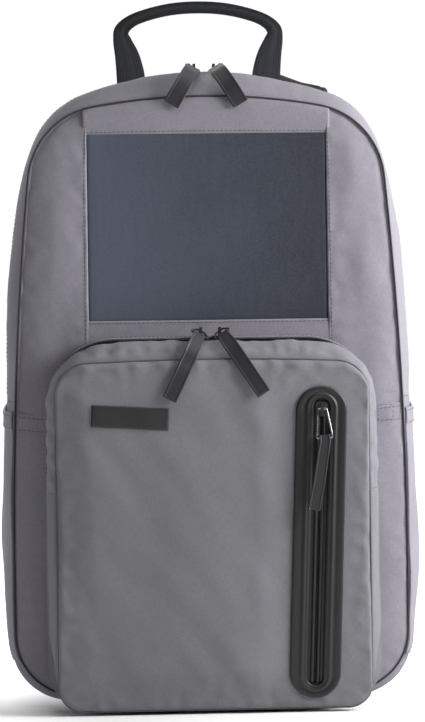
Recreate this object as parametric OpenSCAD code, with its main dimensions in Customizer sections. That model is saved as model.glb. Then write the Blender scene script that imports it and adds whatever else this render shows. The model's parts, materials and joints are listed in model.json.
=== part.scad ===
// Solar backpack: a padded commuter bag with a solar laminate in its front, a front pocket with a
// zip of its own, a sealed welt zip down that pocket, and a battery pack inside.
// Millimetres. The origin is the middle of the base on the floor, +Z is up and -Y is the front.

/* [Main compartment] */
// Height of the zip line at the top of the bag
body_top = 470.5; // [468:0.5:473]
// Height of the seam at the top of the front panel
seam_top = 451; // [446:1:456]
// Front seam plane, ahead of the origin
seam_front = 60; // [58:1:64]
// Rear seam plane, behind the origin
seam_rear = 62; // [60:1:70]
// Plane of the main zip, ahead of the origin
zip_front = 32; // [30:1:34]
// Thickness of the padded gusset cloth
cloth = 3; // [2:0.5:3]
// Thickness of the front panel cloth
panel_cloth = 2.5; // [1.5:0.5:2.5]
// Height at which the top gusset strips meet the lower gusset
gusset_cut = 226; // [222:1:230]

/* [Front pocket] */
// Height of the pocket's rear outline
pocket_top = 272; // [270:1:276]
// Height of the seam at the top of the pocket's front panel
pocket_seam_top = 256; // [254:1:258]
// Front seam plane of the pocket
pocket_front = 106; // [104:1:110]
// Plane of the pocket zip
pocket_zip = 84; // [82:1:86]
// Height at which the pocket's zip ends
pocket_cut = 160; // [140:1:180]

/* [Solar laminate] */
// Width of the laminate
solar_w = 177; // [170:1:177]
// Height of the laminate
solar_h = 139; // [130:1:140]
// Height of its lower edge
solar_z = 284; // [282:1:286]

/* [Welt zip] */
// Length of the welded patch
welt_len = 224; // [220:1:226]
// Width of the welded patch
welt_w = 36; // [34:1:38]
// Lean of the zip from upright, in degrees
welt_lean = 2.2; // [0:0.1:3]

/* [Battery] */
// Width of the battery pack
battery_w = 68; // [60:1:72]
// Height of the battery pack
battery_h = 112; // [100:1:118]
// Thickness of the battery pack
battery_t = 16; // [15:1:18]

/* [Straps] */
// Width of the shoulder pads
strap_w = 58; // [50:1:60]
// Width of the strap webbing
webbing_w = 25; // [20:1:25]

/* [Hidden] */
$fn = 48;

grey = "#85848c";
black = "#232326";

// Each outline is [top height, bottom height, chain of arcs]. An arc is [radius, heading where it ends],
// starting at the top centre heading right at 0 degrees and turning to 180 at the bottom. The arc of
// radius 0 takes the radius that closes the height.
arc_r = 265;
seam_line = [seam_top, 8, [[480, 10], [60, 84.5], [0, 91], [45, 180]]];
ridge_line = [body_top, 2, [[arc_r, 20], [65, 72], [340, 84], [990, 90], [0, 90.3], [44, 180]]];
rear_line = [body_top + 1.5, 4, [[300, 15], [62, 82], [0, 91], [45, 180]]];
pocket_rear_line = [pocket_top, 1.5, [[20000, 0.2], [52, 89.8], [0, 90.2], [30, 180]]];
pocket_seam_line = [pocket_seam_top, 2, [[2000, 2.6], [24, 89.8], [0, 90.2], [18, 180]]];

reveal = 10;         // gap between the cloth edges over a zip
flat_run = 8;        // the cloth stays flat this far each side of a zip
tape_inset = cloth + 0.1;   // a tape's outer face lies against the cloth's inner face
tape_t = 1;
tape_w = 6.5;        // each tape
slit = 1.6;          // between the two tapes
coil_t = 1.9;
coil_w = 2.4;
arc_centre_z = body_top - arc_r;
solar_top = solar_z + solar_h;
seam_x = solar_w / 2 + 0.5;   // the two upright seams beside the laminate
band_steps = 20;     // points along half a gusset strip

// ---------------------------------------------------------------- outlines
function lerp(a, b, t) = a + (b - a) * t;
function sum(v) = [for (x = v) 1] * v;
function heading(arcs, i) = i == 0 ? 0 : arcs[i - 1][1];
function drop(arcs, i) = cos(heading(arcs, i)) - cos(arcs[i][1]);
function closing(line) = let (arcs = line[2], n = len(arcs))
  (line[0] - line[1] - sum([for (i = [0:n - 1]) arcs[i][0] * drop(arcs, i)]))
  / sum([for (i = [0:n - 1]) arcs[i][0] == 0 ? drop(arcs, i) : 0]);

// Half of an outline, from the top centre to the bottom centre, moved inwards by inset.
function half_outline(line, inset) = let (
    arcs = line[2],
    last = len(arcs) - 1,
    radii = [for (a = arcs) (a[0] == 0 ? closing(line) : a[0]) - inset],
    moves = [for (i = [0:last]) radii[i]
      * [sin(arcs[i][1]) - sin(heading(arcs, i)), cos(arcs[i][1]) - cos(heading(arcs, i))]],
    starts = [for (i = 0, p = [0, line[0] - inset]; i <= last; p = p + moves[i], i = i + 1) p])
  [for (i = [0:last]) let (
      from = heading(arcs, i),
      steps = max(2, ceil((arcs[i][1] - from) / 5)))
    for (k = [0:steps - 1]) let (h = lerp(from, arcs[i][1], k / steps))
      starts[i] + radii[i] * [sin(h) - sin(from), cos(h) - cos(from)],
   starts[last] + moves[last],
   [0, line[1] + inset]];

function running(pts) = [for (i = 0, s = 0; i < len(pts);
  s = s + (i + 1 < len(pts) ? norm(pts[i + 1] - pts[i]) : 0), i = i + 1) s];

// n + 1 points evenly spaced between two shares of a line's length.
function resample(pts, from, to, n) = let (run = running(pts), total = run[len(run) - 1])
  [for (k = [0:n]) let (s = lerp(from, to, k / n) * total)
    [lookup(s, [for (i = [0:len(pts) - 1]) [run[i], pts[i].x]]),
     lookup(s, [for (i = [0:len(pts) - 1]) [run[i], pts[i].y]])]];
function share_at(pts, z) = let (run = running(pts), n = len(pts) - 1)
  lookup(z, [for (i = [n:-1:0]) [pts[i].y, run[i] / run[n]]]);
function half_width(line, inset, z) = let (pts = half_outline(line, inset), n = len(pts) - 1)
  lookup(z, [for (i = [n:-1:0]) [pts[i].y, pts[i].x]]);

// The part of an outline above a height, or below it, from its left end to its right end.
function above(line, inset, cut, n) = let (
    pts = half_outline(line, inset), half = resample(pts, 0, share_at(pts, cut), n))
  concat([for (i = [n:-1:1]) [-half[i].x, half[i].y]], half);
function below(line, inset, cut, n) = let (
    pts = half_outline(line, inset), half = resample(pts, share_at(pts, cut), 1, n))
  concat([for (i = [0:n]) [-half[i].x, half[i].y]], [for (i = [n - 1:-1:0]) half[i]]);
function full(line, inset) = let (half = half_outline(line, inset), n = len(half) - 1)
  concat([for (i = [0:n]) half[i]], [for (i = [n - 1:-1:1]) [-half[i].x, half[i].y]]);
function full_even(line, inset, n) = let (half = resample(half_outline(line, inset), 0, 1, n))
  concat([for (i = [0:n]) half[i]], [for (i = [n - 1:-1:1]) [-half[i].x, half[i].y]]);

// ---------------------------------------------------------------- solids from grids
function quad(a, b, c, d) = [[a, b, c], [a, c, d]];
function flat(grid) = [for (row = grid) each row];

// A closed sheet between an outer and an inner grid of the same size.
module sheet(outer, inner) {
  m = len(outer);
  n = len(outer[0]);
  under = m * n;
  polyhedron(points = concat(flat(outer), flat(inner)), faces = [
    for (i = [0:m - 2], j = [0:n - 2]) let (p = i * n + j)
      each concat(quad(p, p + 1, p + n + 1, p + n),
                  quad(under + p, under + p + n, under + p + n + 1, under + p + 1)),
    for (j = [0:n - 2]) let (a = j, b = (m - 1) * n + j)
      each concat(quad(a, under + a, under + a + 1, a + 1), quad(b, b + 1, under + b + 1, under + b)),
    for (i = [0:m - 2]) let (a = i * n, b = i * n + n - 1)
      each concat(quad(a, a + n, under + a + n, under + a), quad(b, under + b, under + b + n, b + n))
  ]);
}

// A ring that is closed both along its rows and across them.
module torus(grid) {
  m = len(grid);
  n = len(grid[0]);
  polyhedron(points = flat(grid), faces = [
    for (i = [0:m - 1], j = [0:n - 1]) let (
        a = i * n + j, b = i * n + (j + 1) % n, c = ((i + 1) % m) * n + (j + 1) % n, d = ((i + 1) % m) * n + j)
      each quad(a, b, c, d)
  ]);
}

// A bar of rectangular section through stations of [centre, half width vector, half thickness vector].
module ribbon(stations) {
  n = len(stations) - 1;
  points = [for (s = stations) each
    [s[0] - s[1] - s[2], s[0] + s[1] - s[2], s[0] + s[1] + s[2], s[0] - s[1] + s[2]]];
  polyhedron(points = points, faces = concat(
    [[0, 1, 2], [0, 2, 3]],
    [for (i = [0:n - 1], k = [0:3]) let (a = i * 4 + k, b = i * 4 + (k + 1) % 4)
      each quad(a, a + 4, b + 4, b)],
    [[n * 4, n * 4 + 2, n * 4 + 1], [n * 4, n * 4 + 3, n * 4 + 2]]));
}

// A tube along points, for a cable.
module tube(path, r, sides = 8) {
  n = len(path) - 1;
  dirs = [for (i = [0:n]) let (d = path[min(i + 1, n)] - path[max(i - 1, 0)]) d / norm(d)];
  points = [for (i = [0:n]) let (
      u = cross(dirs[i], [0, 0, 1] + [0.3, 0, 0]), a = u / norm(u), b = cross(dirs[i], a))
    for (k = [0:sides - 1]) path[i] + r * (a * cos(360 * k / sides) + b * sin(360 * k / sides))];
  polyhedron(points = points, faces = concat(
    [[for (k = [0:sides - 1]) k]],
    [for (i = [0:n - 1], k = [0:sides - 1]) let (a = i * sides + k, b = i * sides + (k + 1) % sides)
      each quad(a, a + sides, b + sides, b)],
    [[for (k = [sides - 1:-1:0]) n * sides + k]]));
}

// Smooth curve of m steps between each pair of points.
function smooth(p, m) = let (n = len(p) - 1)
  [for (i = [0:n - 1], k = [0:m - 1]) let (
      t = k / m, a = p[max(i - 1, 0)], b = p[i], c = p[i + 1], d = p[min(i + 2, n)])
    0.5 * (2 * b + (c - a) * t + (2 * a - 5 * b + 4 * c - d) * t * t + (3 * b - a - 3 * c + d) * t * t * t),
   p[n]];

// A flat plate in the XZ plane whose rear face is at y.
module plate(y, thick) translate([0, y, 0]) rotate([90, 0, 0]) linear_extrude(thick) children();
module stadium(w, l) {
  square([w, l - w], center = true);
  for (s = [-1, 1]) translate([0, s * (l - w) / 2]) circle(d = w);
}
// Puts a piece drawn with X across, Z up and Y to the rear into a frame given by its X and Z axes.
module frame_at(o, x, z) {
  y = cross(z, x);
  multmatrix([[x.x, y.x, z.x, o.x], [x.y, y.y, z.y, o.y], [x.z, y.z, z.z, o.z], [0, 0, 0, 1]]) children();
}
// Outline of a strip of cloth or webbing along a centre line drawn in its side view.
function strip(path, thick) = let (n = len(path) - 1,
    side = [for (i = [0:n]) let (d = path[min(i + 1, n)] - path[max(i - 1, 0)]) [-d.y, d.x] / norm(d)])
  concat(
    [for (i = [0:n]) path[i] + side[i] * thick / 2],
    [for (i = [n:-1:0]) path[i] - side[i] * thick / 2]);

// ---------------------------------------------------------------- gussets
// The front strip swells from the seam to the ridge; the rear strip comes back in to the back panel.
function swell(y, from, to) = sin(90 * min(1, max(0, (y - from) / (to - from))));
front_rows = [for (y = [-seam_front, -57, -53, -48, -zip_front - flat_run, -zip_front - reveal / 2])
  [y, swell(y, -seam_front, -zip_front - flat_run)]];
rear_bend = 22;      // the rear strip is flat up to here
rear_rows = [for (y = [-zip_front + reveal / 2, -5, rear_bend, 36, 48, 56, seam_rear])
  [y, 1 - pow(max(0, (y - rear_bend) / (seam_rear - rear_bend)), 2)]];

function band(lineA, lineB, rows, cut, inset, upper) = let (
    a = upper ? above(lineA, inset, cut, band_steps) : below(lineA, inset, cut, band_steps),
    b = upper ? above(lineB, inset, cut, band_steps) : below(lineB, inset, cut, band_steps))
  [for (r = rows) [for (i = [0:len(a) - 1]) let (p = lerp(a[i], b[i], r[1])) [p.x, r[0], p.y]]];

module upper_band(lineA, lineB, rows, cut) sheet(
  band(lineA, lineB, rows, cut, 0, true), band(lineA, lineB, rows, cut, cloth, true));
module lower_band(lineA, lineB, rows, cut) sheet(
  band(lineA, lineB, rows, cut, cloth, false), band(lineA, lineB, rows, cut, 0, false));

module gusset_front_strip() color(grey) upper_band(seam_line, ridge_line, front_rows, gusset_cut);
module gusset_rear_strip() color(grey) upper_band(rear_line, ridge_line, rear_rows, gusset_cut);

// The lower gusset runs from seam to seam under the zip's two ends and round the bottom.
function lower_rows(inset) = let (cut = gusset_cut - 0.1)
  concat(band(seam_line, ridge_line, front_rows, cut, inset, false),
         band(rear_line, ridge_line, rear_rows, cut, inset, false));
module gusset_lower() color(grey) sheet(lower_rows(cloth), lower_rows(0));

// A stiff board keeps the bottom flat, and the bag stands on a patch of coated cloth under it.
module base_board() color(black) translate([-90, -44, 7]) cube([180, 92, 2]);
module base_patch() color(black) translate([-92, -46, 0]) cube([184, 96, 1.9]);

// ---------------------------------------------------------------- back
module back_panel() color(black) plate(seam_rear + 8.2, 8) polygon(full(rear_line, 0));
module back_pads() color(black) {
  for (s = [-1, 1]) plate(seam_rear + 16.4, 8) translate([s * 57, 330]) stadium(58, 190);
  plate(seam_rear + 16.4, 8) translate([0, 118]) rotate(90) stadium(62, 210);
}

// ---------------------------------------------------------------- front panel
front_face = -seam_front - 0.1;
module front_outline() polygon(full(seam_line, 0));
module window(x0, x1, z0, z1) translate([x0, z0]) square([x1 - x0, z1 - z0]);
module front_side_panels() color(grey) plate(front_face, panel_cloth) {
  intersection() { front_outline(); window(-200, -seam_x - 0.1, 0, 500); }
  intersection() { front_outline(); window(seam_x + 0.1, 200, 0, 500); }
}
module front_header() color(grey) plate(front_face, panel_cloth)
  intersection() { front_outline(); window(-seam_x, seam_x, solar_top + 0.1, 500); }
module front_centre_panel() color(grey) plate(front_face, panel_cloth)
  intersection() { front_outline(); window(-seam_x, seam_x, 0, solar_z - 0.1); }

// The cord in a seam, a ring of small round section just outside the outline.
piping_gap = 0.7;
piping_steps = 60;   // points along half a ring
module piping(line, y, r) torus([for (k = [0:7])
  [for (p = full_even(line, -r - piping_gap - r * cos(45 * k), piping_steps))
    [p.x, y + r * sin(45 * k), p.y]]]);
module seam_piping() color(black) {
  piping(seam_line, -seam_front - 1.3, 0.8);
  piping(pocket_seam_line, -pocket_front - 1.4, 0.8);
}

// Side pocket: a sheet from the front seam to the rear seam outside the lower gusset, open at the top.
mouth = 210;         // at its front edge; the rear edge is higher by mouth_rise
mouth_rise = 9;
pocket_foot = 34;
pocket_cloth = 1.5;
function gusset_x(y, z) = y < -zip_front
  ? lerp(half_width(seam_line, 0, z), half_width(ridge_line, 0, z),
      swell(y, -seam_front, -zip_front - flat_run))
  : lerp(half_width(rear_line, 0, z), half_width(ridge_line, 0, z),
      1 - pow(max(0, (y - rear_bend) / (seam_rear - rear_bend)), 2));
function pocket_point(level, t, inset, side) = let (
    y = lerp(-seam_front + 0.6, seam_rear - 0.6, t),
    z = lerp(mouth + mouth_rise * t, pocket_foot, level),
    belly = 4.4 * sin(180 * min(1, 0.35 + level * 0.65)) * sin(180 * t))
  [side * (gusset_x(y, z) + 0.7 + pocket_cloth + belly - inset), y, z];
module side_pocket(side) color(grey) {
  levels = [for (k = [0:9]) k / 9];
  depths = [for (k = [0:10]) k / 10];
  outer = [for (v = levels) [for (t = depths) pocket_point(v, t, 0, side)]];
  inner = [for (v = levels) [for (t = depths) pocket_point(v, t, pocket_cloth, side)]];
  if (side > 0) sheet(outer, inner); else sheet(inner, outer);
}
module side_pocket_left() side_pocket(-1);
module side_pocket_right() side_pocket(1);

// ---------------------------------------------------------------- zips
// One tape or one coil along a gusset strip's edge, from y0 to y1, between two insets.
module along(line, cut, inset0, inset1, y0, y1) translate([0, y1, 0]) rotate([90, 0, 0])
  linear_extrude(y1 - y0) polygon(concat(
    above(line, inset0, cut, band_steps), reversed(above(line, inset1, cut, band_steps))));
function reversed(v) = [for (i = [len(v) - 1:-1:0]) v[i]];

module zip_tapes(line, cut, y) color(black) for (s = [-1, 1])
  along(line, cut, tape_inset, tape_inset + tape_t,
    y + (s < 0 ? -slit / 2 - tape_w : slit / 2), y + (s < 0 ? -slit / 2 : slit / 2 + tape_w));
module zip_coils(line, cut, y) color(black) for (s = [-1, 1])
  along(line, cut, tape_inset - coil_t, tape_inset,
    y + (s < 0 ? -slit / 2 - coil_w : slit / 2), y + (s < 0 ? -slit / 2 : slit / 2 + coil_w));
module main_zip_tapes() zip_tapes(ridge_line, gusset_cut, -zip_front);
module main_zip_coils() zip_coils(ridge_line, gusset_cut, -zip_front);
module pocket_zip_tapes() zip_tapes(pocket_rear_line, pocket_cut, -pocket_zip);
module pocket_zip_coils() zip_coils(pocket_rear_line, pocket_cut, -pocket_zip);

// ---------------------------------------------------------------- front pocket
pocket_front_rows = [
  for (y = [-pocket_front, -104, -101, -97, -pocket_zip - flat_run, -pocket_zip - reveal / 2])
  [y, swell(y, -pocket_front, -pocket_zip - flat_run)]];
pocket_rear_rows = [[-pocket_zip + reveal / 2, 1], [-72, 1], [-seam_front - 3.2, 1]];
module pocket_front_strip() color(grey)
  upper_band(pocket_seam_line, pocket_rear_line, pocket_front_rows, pocket_cut);
module pocket_rear_strip() color(grey)
  upper_band(pocket_seam_line, pocket_rear_line, pocket_rear_rows, pocket_cut);
module pocket_lower_gusset() color(grey)
  lower_band(pocket_seam_line, pocket_rear_line, concat(pocket_front_rows, pocket_rear_rows), pocket_cut - 0.1);
pocket_face = -pocket_front - 0.1;
module pocket_front_panel() color("#8b8c91") plate(pocket_face, panel_cloth) difference() {
  polygon(full(pocket_seam_line, 0));
  welt_place() stadium(23, welt_len - 4);
}
module label_patch() color(black) plate(pocket_face - panel_cloth - 0.1, 0.9)
  translate([-59.5, 214]) rotate(-3.5) offset(0.8) square([54.4, 14], center = true);

// ---------------------------------------------------------------- welt zip
welt_x = 75;
welt_z = 122.5;
welt_face = pocket_face - panel_cloth;      // the patch is welded on here
welt_tape_y = welt_face + 0.6;              // the tapes' outer face
module welt_place() translate([welt_x, welt_z]) rotate(-welt_lean) children();
module welt_patch() color(black) plate(welt_face - 0.1, 0.8) welt_place() difference() {
  stadium(welt_w, welt_len);
  stadium(12.4, welt_len - 16);
}
// Its zip has the coils at the back, so the tapes are what shows in the slot.
module welt_zip() color(black) for (s = [-1, 1]) {
  plate(welt_tape_y + 0.8, 0.8) welt_place()
    translate([s * 5.6, 0]) square([9.6, welt_len - 20], center = true);
  plate(welt_tape_y + 0.9 + coil_t, coil_t) welt_place()
    translate([s * (slit + coil_w) / 2, 0]) square([coil_w, welt_len - 24], center = true);
}

// ---------------------------------------------------------------- sliders and pulls
// Drawn with X along the zip, Y across it, and Z out of the cloth; Z is 0 at the tapes' outer face.
// above_t is the coil that stands over the tapes, and below_t what lies under their outer face.
// The bridge is turned so that the loop's bar runs along X at 0 and along Y at 90 degrees.
plate_t = 1.4;
wire_r = 0.65;
pivot_over_plate = 3.5;
bridge_t = 1;
slider_play = 0.3;   // between the slider's top plate and the coils
low_play = 0.75;     // between its lower plate and the tapes, which are straight between their bends
tunnel_play = 1.2;   // over the loop's bar, which lies askew in its bridge
module slider(above_t, below_t, turn) color("#2c2c30") {
  shield = [[-5.4, 3.3], [-5.4, -3.3], [1, -4.6], [4.4, -4.1], [5.4, -2], [5.4, 2], [4.4, 4.1], [1, 4.6]];
  top = above_t + slider_play;
  low = -below_t - low_play;
  tunnel = pivot_over_plate + wire_r + tunnel_play;
  translate([0, 0, top]) linear_extrude(plate_t) polygon(shield);
  translate([0, 0, low - 1.2]) linear_extrude(1.2) polygon(shield);
  translate([2.4, -0.4, low]) cube([2.4, 0.8, top - low]);
  translate([0, 0, top + plate_t]) rotate(turn) difference() {
    translate([-1.1, -3.4, 0]) cube([2.2, 6.8, tunnel + bridge_t]);
    translate([-2, -2.4, -1]) cube([4, 4.8, tunnel + 1]);
  }
}
function pivot_height(above_t) = above_t + slider_play + plate_t + pivot_over_plate;

// The loop hangs down -Z from a bar on the X axis.
module loop(top_w, low_w, length) color("#3a3a3e")
  rotate([90, 0, 0]) linear_extrude(2 * wire_r, center = true)
  difference() {
    offset(delta = wire_r) loop_line(top_w, low_w, length);
    offset(delta = -wire_r) loop_line(top_w, low_w, length);
  }
parallel = 3.6;      // the loop's sides run parallel beside the tab's eye
module loop_line(top_w, low_w, length)
  polygon([[-top_w, 0], [top_w, 0], [low_w, parallel - length], [low_w, -length],
    [-low_w, -length], [-low_w, parallel - length]]);

// A tab with its eye round the loop's lower bar. The path is its side view, in mm down and out.
module tab(width, path, thick) color(black)
  rotate([90, 0, 90]) translate([0, 0, -width / 2]) linear_extrude(width)
  difference() {
    union() { circle(r = 2, $fn = 12); polygon(strip(path, thick)); }
    circle(r = 1.05, $fn = 12);
  }

// A pull leans sideways, its loop lies forward a little above level, and its tab drapes down from there.
pull_reach = 11;
pull_rise = 4;      // degrees
module hung(p, lean, forward) translate(p) rotate([0, lean, 0]) rotate([-forward, 0, 0]) children();
module laid_loop(p, lean) hung(p, lean, 90 + pull_rise) loop(3.2, 6.2, pull_reach);
module laid_tab(p, lean, width, drape) translate(p) rotate([0, lean, 0])
  translate(pull_reach * [0, -cos(pull_rise), sin(pull_rise)]) mirror([0, 1, 0]) tab(width, drape, 1.8);

// The main sliders run on the ridge's top arc, a circle about [0, -zip_front, arc_centre_z].
main_turn = 1.56;    // each side of the middle, in degrees
main_lean = 31;
main_drape = [[1.5, 0], [6, -1], [12, -3.5], [17.5, -8], [21, -14], [22.6, -21], [23, -28], [23, -34]];
zip_r = arc_r - tape_inset;
module on_ridge(side) frame_at(
  [side * zip_r * sin(main_turn), -zip_front, arc_centre_z + zip_r * cos(main_turn)],
  [cos(main_turn) * side, 0, -sin(main_turn)], [side * sin(main_turn), 0, cos(main_turn)]) children();
function ridge_pivot(side) = let (r = zip_r + pivot_height(coil_t))
  [side * r * sin(main_turn), -zip_front, arc_centre_z + r * cos(main_turn)];

module main_slider(side) on_ridge(side) slider(coil_t, tape_t, 0);
module main_loop(side) laid_loop(ridge_pivot(side), -side * main_lean);
module main_tab(side) laid_tab(ridge_pivot(side), -side * main_lean, 10.5, main_drape);
module main_slider_left() main_slider(-1);
module main_loop_left() main_loop(-1);
module main_tab_left() main_tab(-1);
module main_slider_right() main_slider(1);
module main_loop_right() main_loop(1);
module main_tab_right() main_tab(1);

// The pocket sliders run straight along the top of the pocket.
pocket_slider_x = 7;
pocket_tape_z = pocket_top - tape_inset;
pocket_drape = [[1.5, 0], [5, -3], [9.5, -7.5], [13.4, -14], [15.6, -22], [16.6, -32], [16.8, -52]];
function pocket_pivot(side) = [side * pocket_slider_x, -pocket_zip, pocket_tape_z + pivot_height(coil_t)];
function pocket_lean(side) = side < 0 ? 26 : -33;
module pocket_slider(side) frame_at(
  [side * pocket_slider_x, -pocket_zip, pocket_tape_z], [side, 0, 0], [0, 0, 1]) slider(coil_t, tape_t, 0);
module pocket_loop(side) laid_loop(pocket_pivot(side), pocket_lean(side));
module pocket_tab(side) laid_tab(pocket_pivot(side), pocket_lean(side), 10, pocket_drape);
module pocket_slider_left() pocket_slider(-1);
module pocket_loop_left() pocket_loop(-1);
module pocket_tab_left() pocket_tab(-1);
module pocket_slider_right() pocket_slider(1);
module pocket_loop_right() pocket_loop(1);
module pocket_tab_right() pocket_tab(1);

// The welt slider is at the top of its zip, with a long loop and a leather tab that hang down.
welt_slider_up = 96;
welt_loop_len = 21;
welt_dir = [sin(welt_lean), 0, cos(welt_lean)];
welt_slider_at = [welt_x, welt_tape_y, welt_z] + welt_slider_up * welt_dir;
welt_pivot = welt_slider_at - [0, pivot_height(0), 0];
welt_loop_lean = -4;
module welt_slider() frame_at(welt_slider_at, welt_dir, [0, -1, 0]) slider(0, 0.8 + 0.1 + coil_t, 90);
module welt_loop() hung(welt_pivot, welt_loop_lean, 4) loop(3.2, 5.4, welt_loop_len);
module welt_tab() color(black)
  translate(welt_pivot) rotate([0, welt_loop_lean, 0]) rotate([-4, 0, 0]) translate([0, 0, -welt_loop_len])
    difference() {
      union() {
        rotate([0, 90, 0]) cylinder(h = 8, r = 2, center = true);
        translate([0, 1, 0]) rotate([90, 0, 0]) linear_extrude(2)
          polygon([[-4, 0], [4, 0], [2.6, -9], [-8.4, -52], [-16.6, -50], [-6, -9]]);
      }
      rotate([0, 90, 0]) cylinder(h = 40, r = 1, center = true);
    }

// ---------------------------------------------------------------- solar laminate
solar_mid = solar_z + solar_h / 2;
solar_back = front_face - 0.1;
module solar_rect(margin)
  translate([0, solar_mid]) square([solar_w - 2 * margin, solar_h - 2 * margin], center = true);
module solar_backsheet() color("#1d2026") plate(solar_back, 0.8) solar_rect(0.2);
cell_cols = 4;
cell_rows = 3;
cell_gap = 1.5;
module solar_cells() color("#232a38") {
  w = (solar_w - 8 - (cell_cols - 1) * cell_gap) / cell_cols;
  h = (solar_h - 8 - (cell_rows - 1) * cell_gap) / cell_rows;
  for (i = [0:cell_cols - 1], j = [0:cell_rows - 1]) plate(solar_back - 0.8, 0.4)
    translate([(i - (cell_cols - 1) / 2) * (w + cell_gap), solar_mid + (j - (cell_rows - 1) / 2) * (h + cell_gap)])
      square([w, h], center = true);
}
module solar_film() color("#3d4450") plate(solar_back - 1.25, 0.7) solar_rect(0.2);
box_z = solar_z + 22;
module solar_junction_box() color(black) difference() {
  translate([-21, solar_back + 0.1, box_z - 10]) cube([42, 7, 20]);
  translate([-19.5, solar_back + 2, box_z - 8.5]) cube([39, 3.6, 17]);
  translate([0, solar_back + 3.8, box_z - 11]) cylinder(h = 4, r = 2.1);
}

// The lead from the laminate to the battery, clipped to the inside of the front panel.
battery_x = -20;
battery_z = 58;
battery_y = -41;            // the case's rear face
cable_r = 1.75;
cable_top = box_z - 9;
plug_at = [battery_x + 16, battery_y - battery_t / 2, battery_z + battery_h];
cable_route = [
  [0, solar_back + 3.8, cable_top], [0, solar_back + 3.8, cable_top - 12], [6, -55, 268], [9, -53.5, 250],
  [6, -52, 232], [0, -50.5, 216], [-3.5, -49.2, 204], [-4, -49, 195]];
module solar_cable() color(black) tube(smooth(cable_route, 4), cable_r);
plug_len = 195 - plug_at.z;
module usb_plug() color(black) translate(plug_at) {
  translate([-6, -3.6, 1]) cube([12, 7.2, plug_len - 9]);
  translate([0, 0, plug_len - 8.1]) cylinder(h = 8, r1 = 3.4, r2 = 2.2);
  color("silver") translate([-4, -1.6, -8]) cube([8, 3.2, 9.1]);
}

// ---------------------------------------------------------------- battery pack
module battery_block(inset, y0, y1) translate([battery_x, y1, battery_z + battery_h / 2]) rotate([90, 0, 0])
  linear_extrude(y1 - y0) offset(5 - inset) square([battery_w - 10, battery_h - 10], center = true);
split_y = battery_y - battery_t / 2;
wall = 1.6;
button_at = [battery_x - 1, battery_y - battery_t + wall, battery_z + battery_h - 16];
lamp_x = [for (k = [0:3]) battery_x + 12 + k * 3.6];
lamp_z = battery_z + battery_h - 18;
module battery_case_rear() color("#303035") difference() {
  battery_block(0, split_y + 0.05, battery_y);
  battery_block(wall, split_y - 1, battery_y - wall);
  port_cutouts();
}
module battery_case_front() color("#303035") difference() {
  battery_block(0, battery_y - battery_t, split_y - 0.05);
  battery_block(wall, battery_y - battery_t + wall, split_y + 1);
  translate(button_at) rotate([90, 0, 0]) cylinder(h = 10, r = 4.2, center = true);
  for (x = lamp_x) translate([x, split_y, lamp_z]) rotate([90, 0, 0]) cylinder(h = 20, r = 0.9);
  port_cutouts();
}
module port_cutouts() for (x = [-18, 16])
  translate([battery_x + x - 7, split_y - 3.4, battery_z + battery_h - 4])
  cube([14, 6.8, 6]);
module battery_cell() color("#b9bcc2") battery_cell_block();
module battery_cell_block() translate([battery_x - 29, split_y - 4.6, battery_z + 4]) cube([58, 9.2, 76]);
// The board with its two sockets, the four charge lamps and the switch under the button.
module battery_board() {
  color("darkgreen") translate([battery_x - 30, split_y + 2.4, battery_z + 84]) cube([60, 1.2, 22]);
  color("silver") translate([battery_x - 25, split_y - 3.2, battery_z + battery_h - 15]) difference() {
    cube([14, 5.5, 14]);
    translate([0.6, 0.6, 1]) cube([12.8, 4.3, 14]);
  }
  color("silver") translate([battery_x + 11, split_y - 2.4, battery_z + battery_h - 11]) difference() {
    cube([10, 4.7, 10]);
    translate([0.6, 0.5, 1]) cube([8.8, 3.9, 10]);
  }
  color("ivory") for (x = lamp_x) translate([x - 0.7, split_y - 6, lamp_z - 0.7]) cube([1.4, 8.3, 1.4]);
  color("black") translate([button_at.x - 2.5, split_y - 4.4, button_at.z - 2.5]) cube([5, 6.7, 5]);
}
module battery_button() color("#55565c") translate(button_at) rotate([90, 0, 0]) {
  translate([0, 0, -0.5]) cylinder(h = 2.7, r = 4);
  translate([0, 0, -1.1]) cylinder(h = 1, r = 5.2);
}
// A cloth sleeve sewn to the inside of the front panel, open at the top, that the battery drops into.
module battery_pocket() color("#4a4b52") {
  z0 = battery_z - 3;
  difference() {
    translate([battery_x - battery_w / 2 - 3, battery_y - battery_t - 2, z0])
      cube([battery_w + 6, battery_t + 4, battery_h - 14]);
    translate([battery_x - battery_w / 2 - 1, battery_y - battery_t - 0.6, z0 + 1.5])
      cube([battery_w + 2, battery_t + 1.2, battery_h]);
  }
}
// A padded wall that holds a laptop against the back.
module laptop_sleeve() color("#4a4b52") plate(seam_rear - 20, 5) difference() {
  polygon(full(rear_line, 14));
  translate([-200, 330]) square([400, 300]);
}

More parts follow.
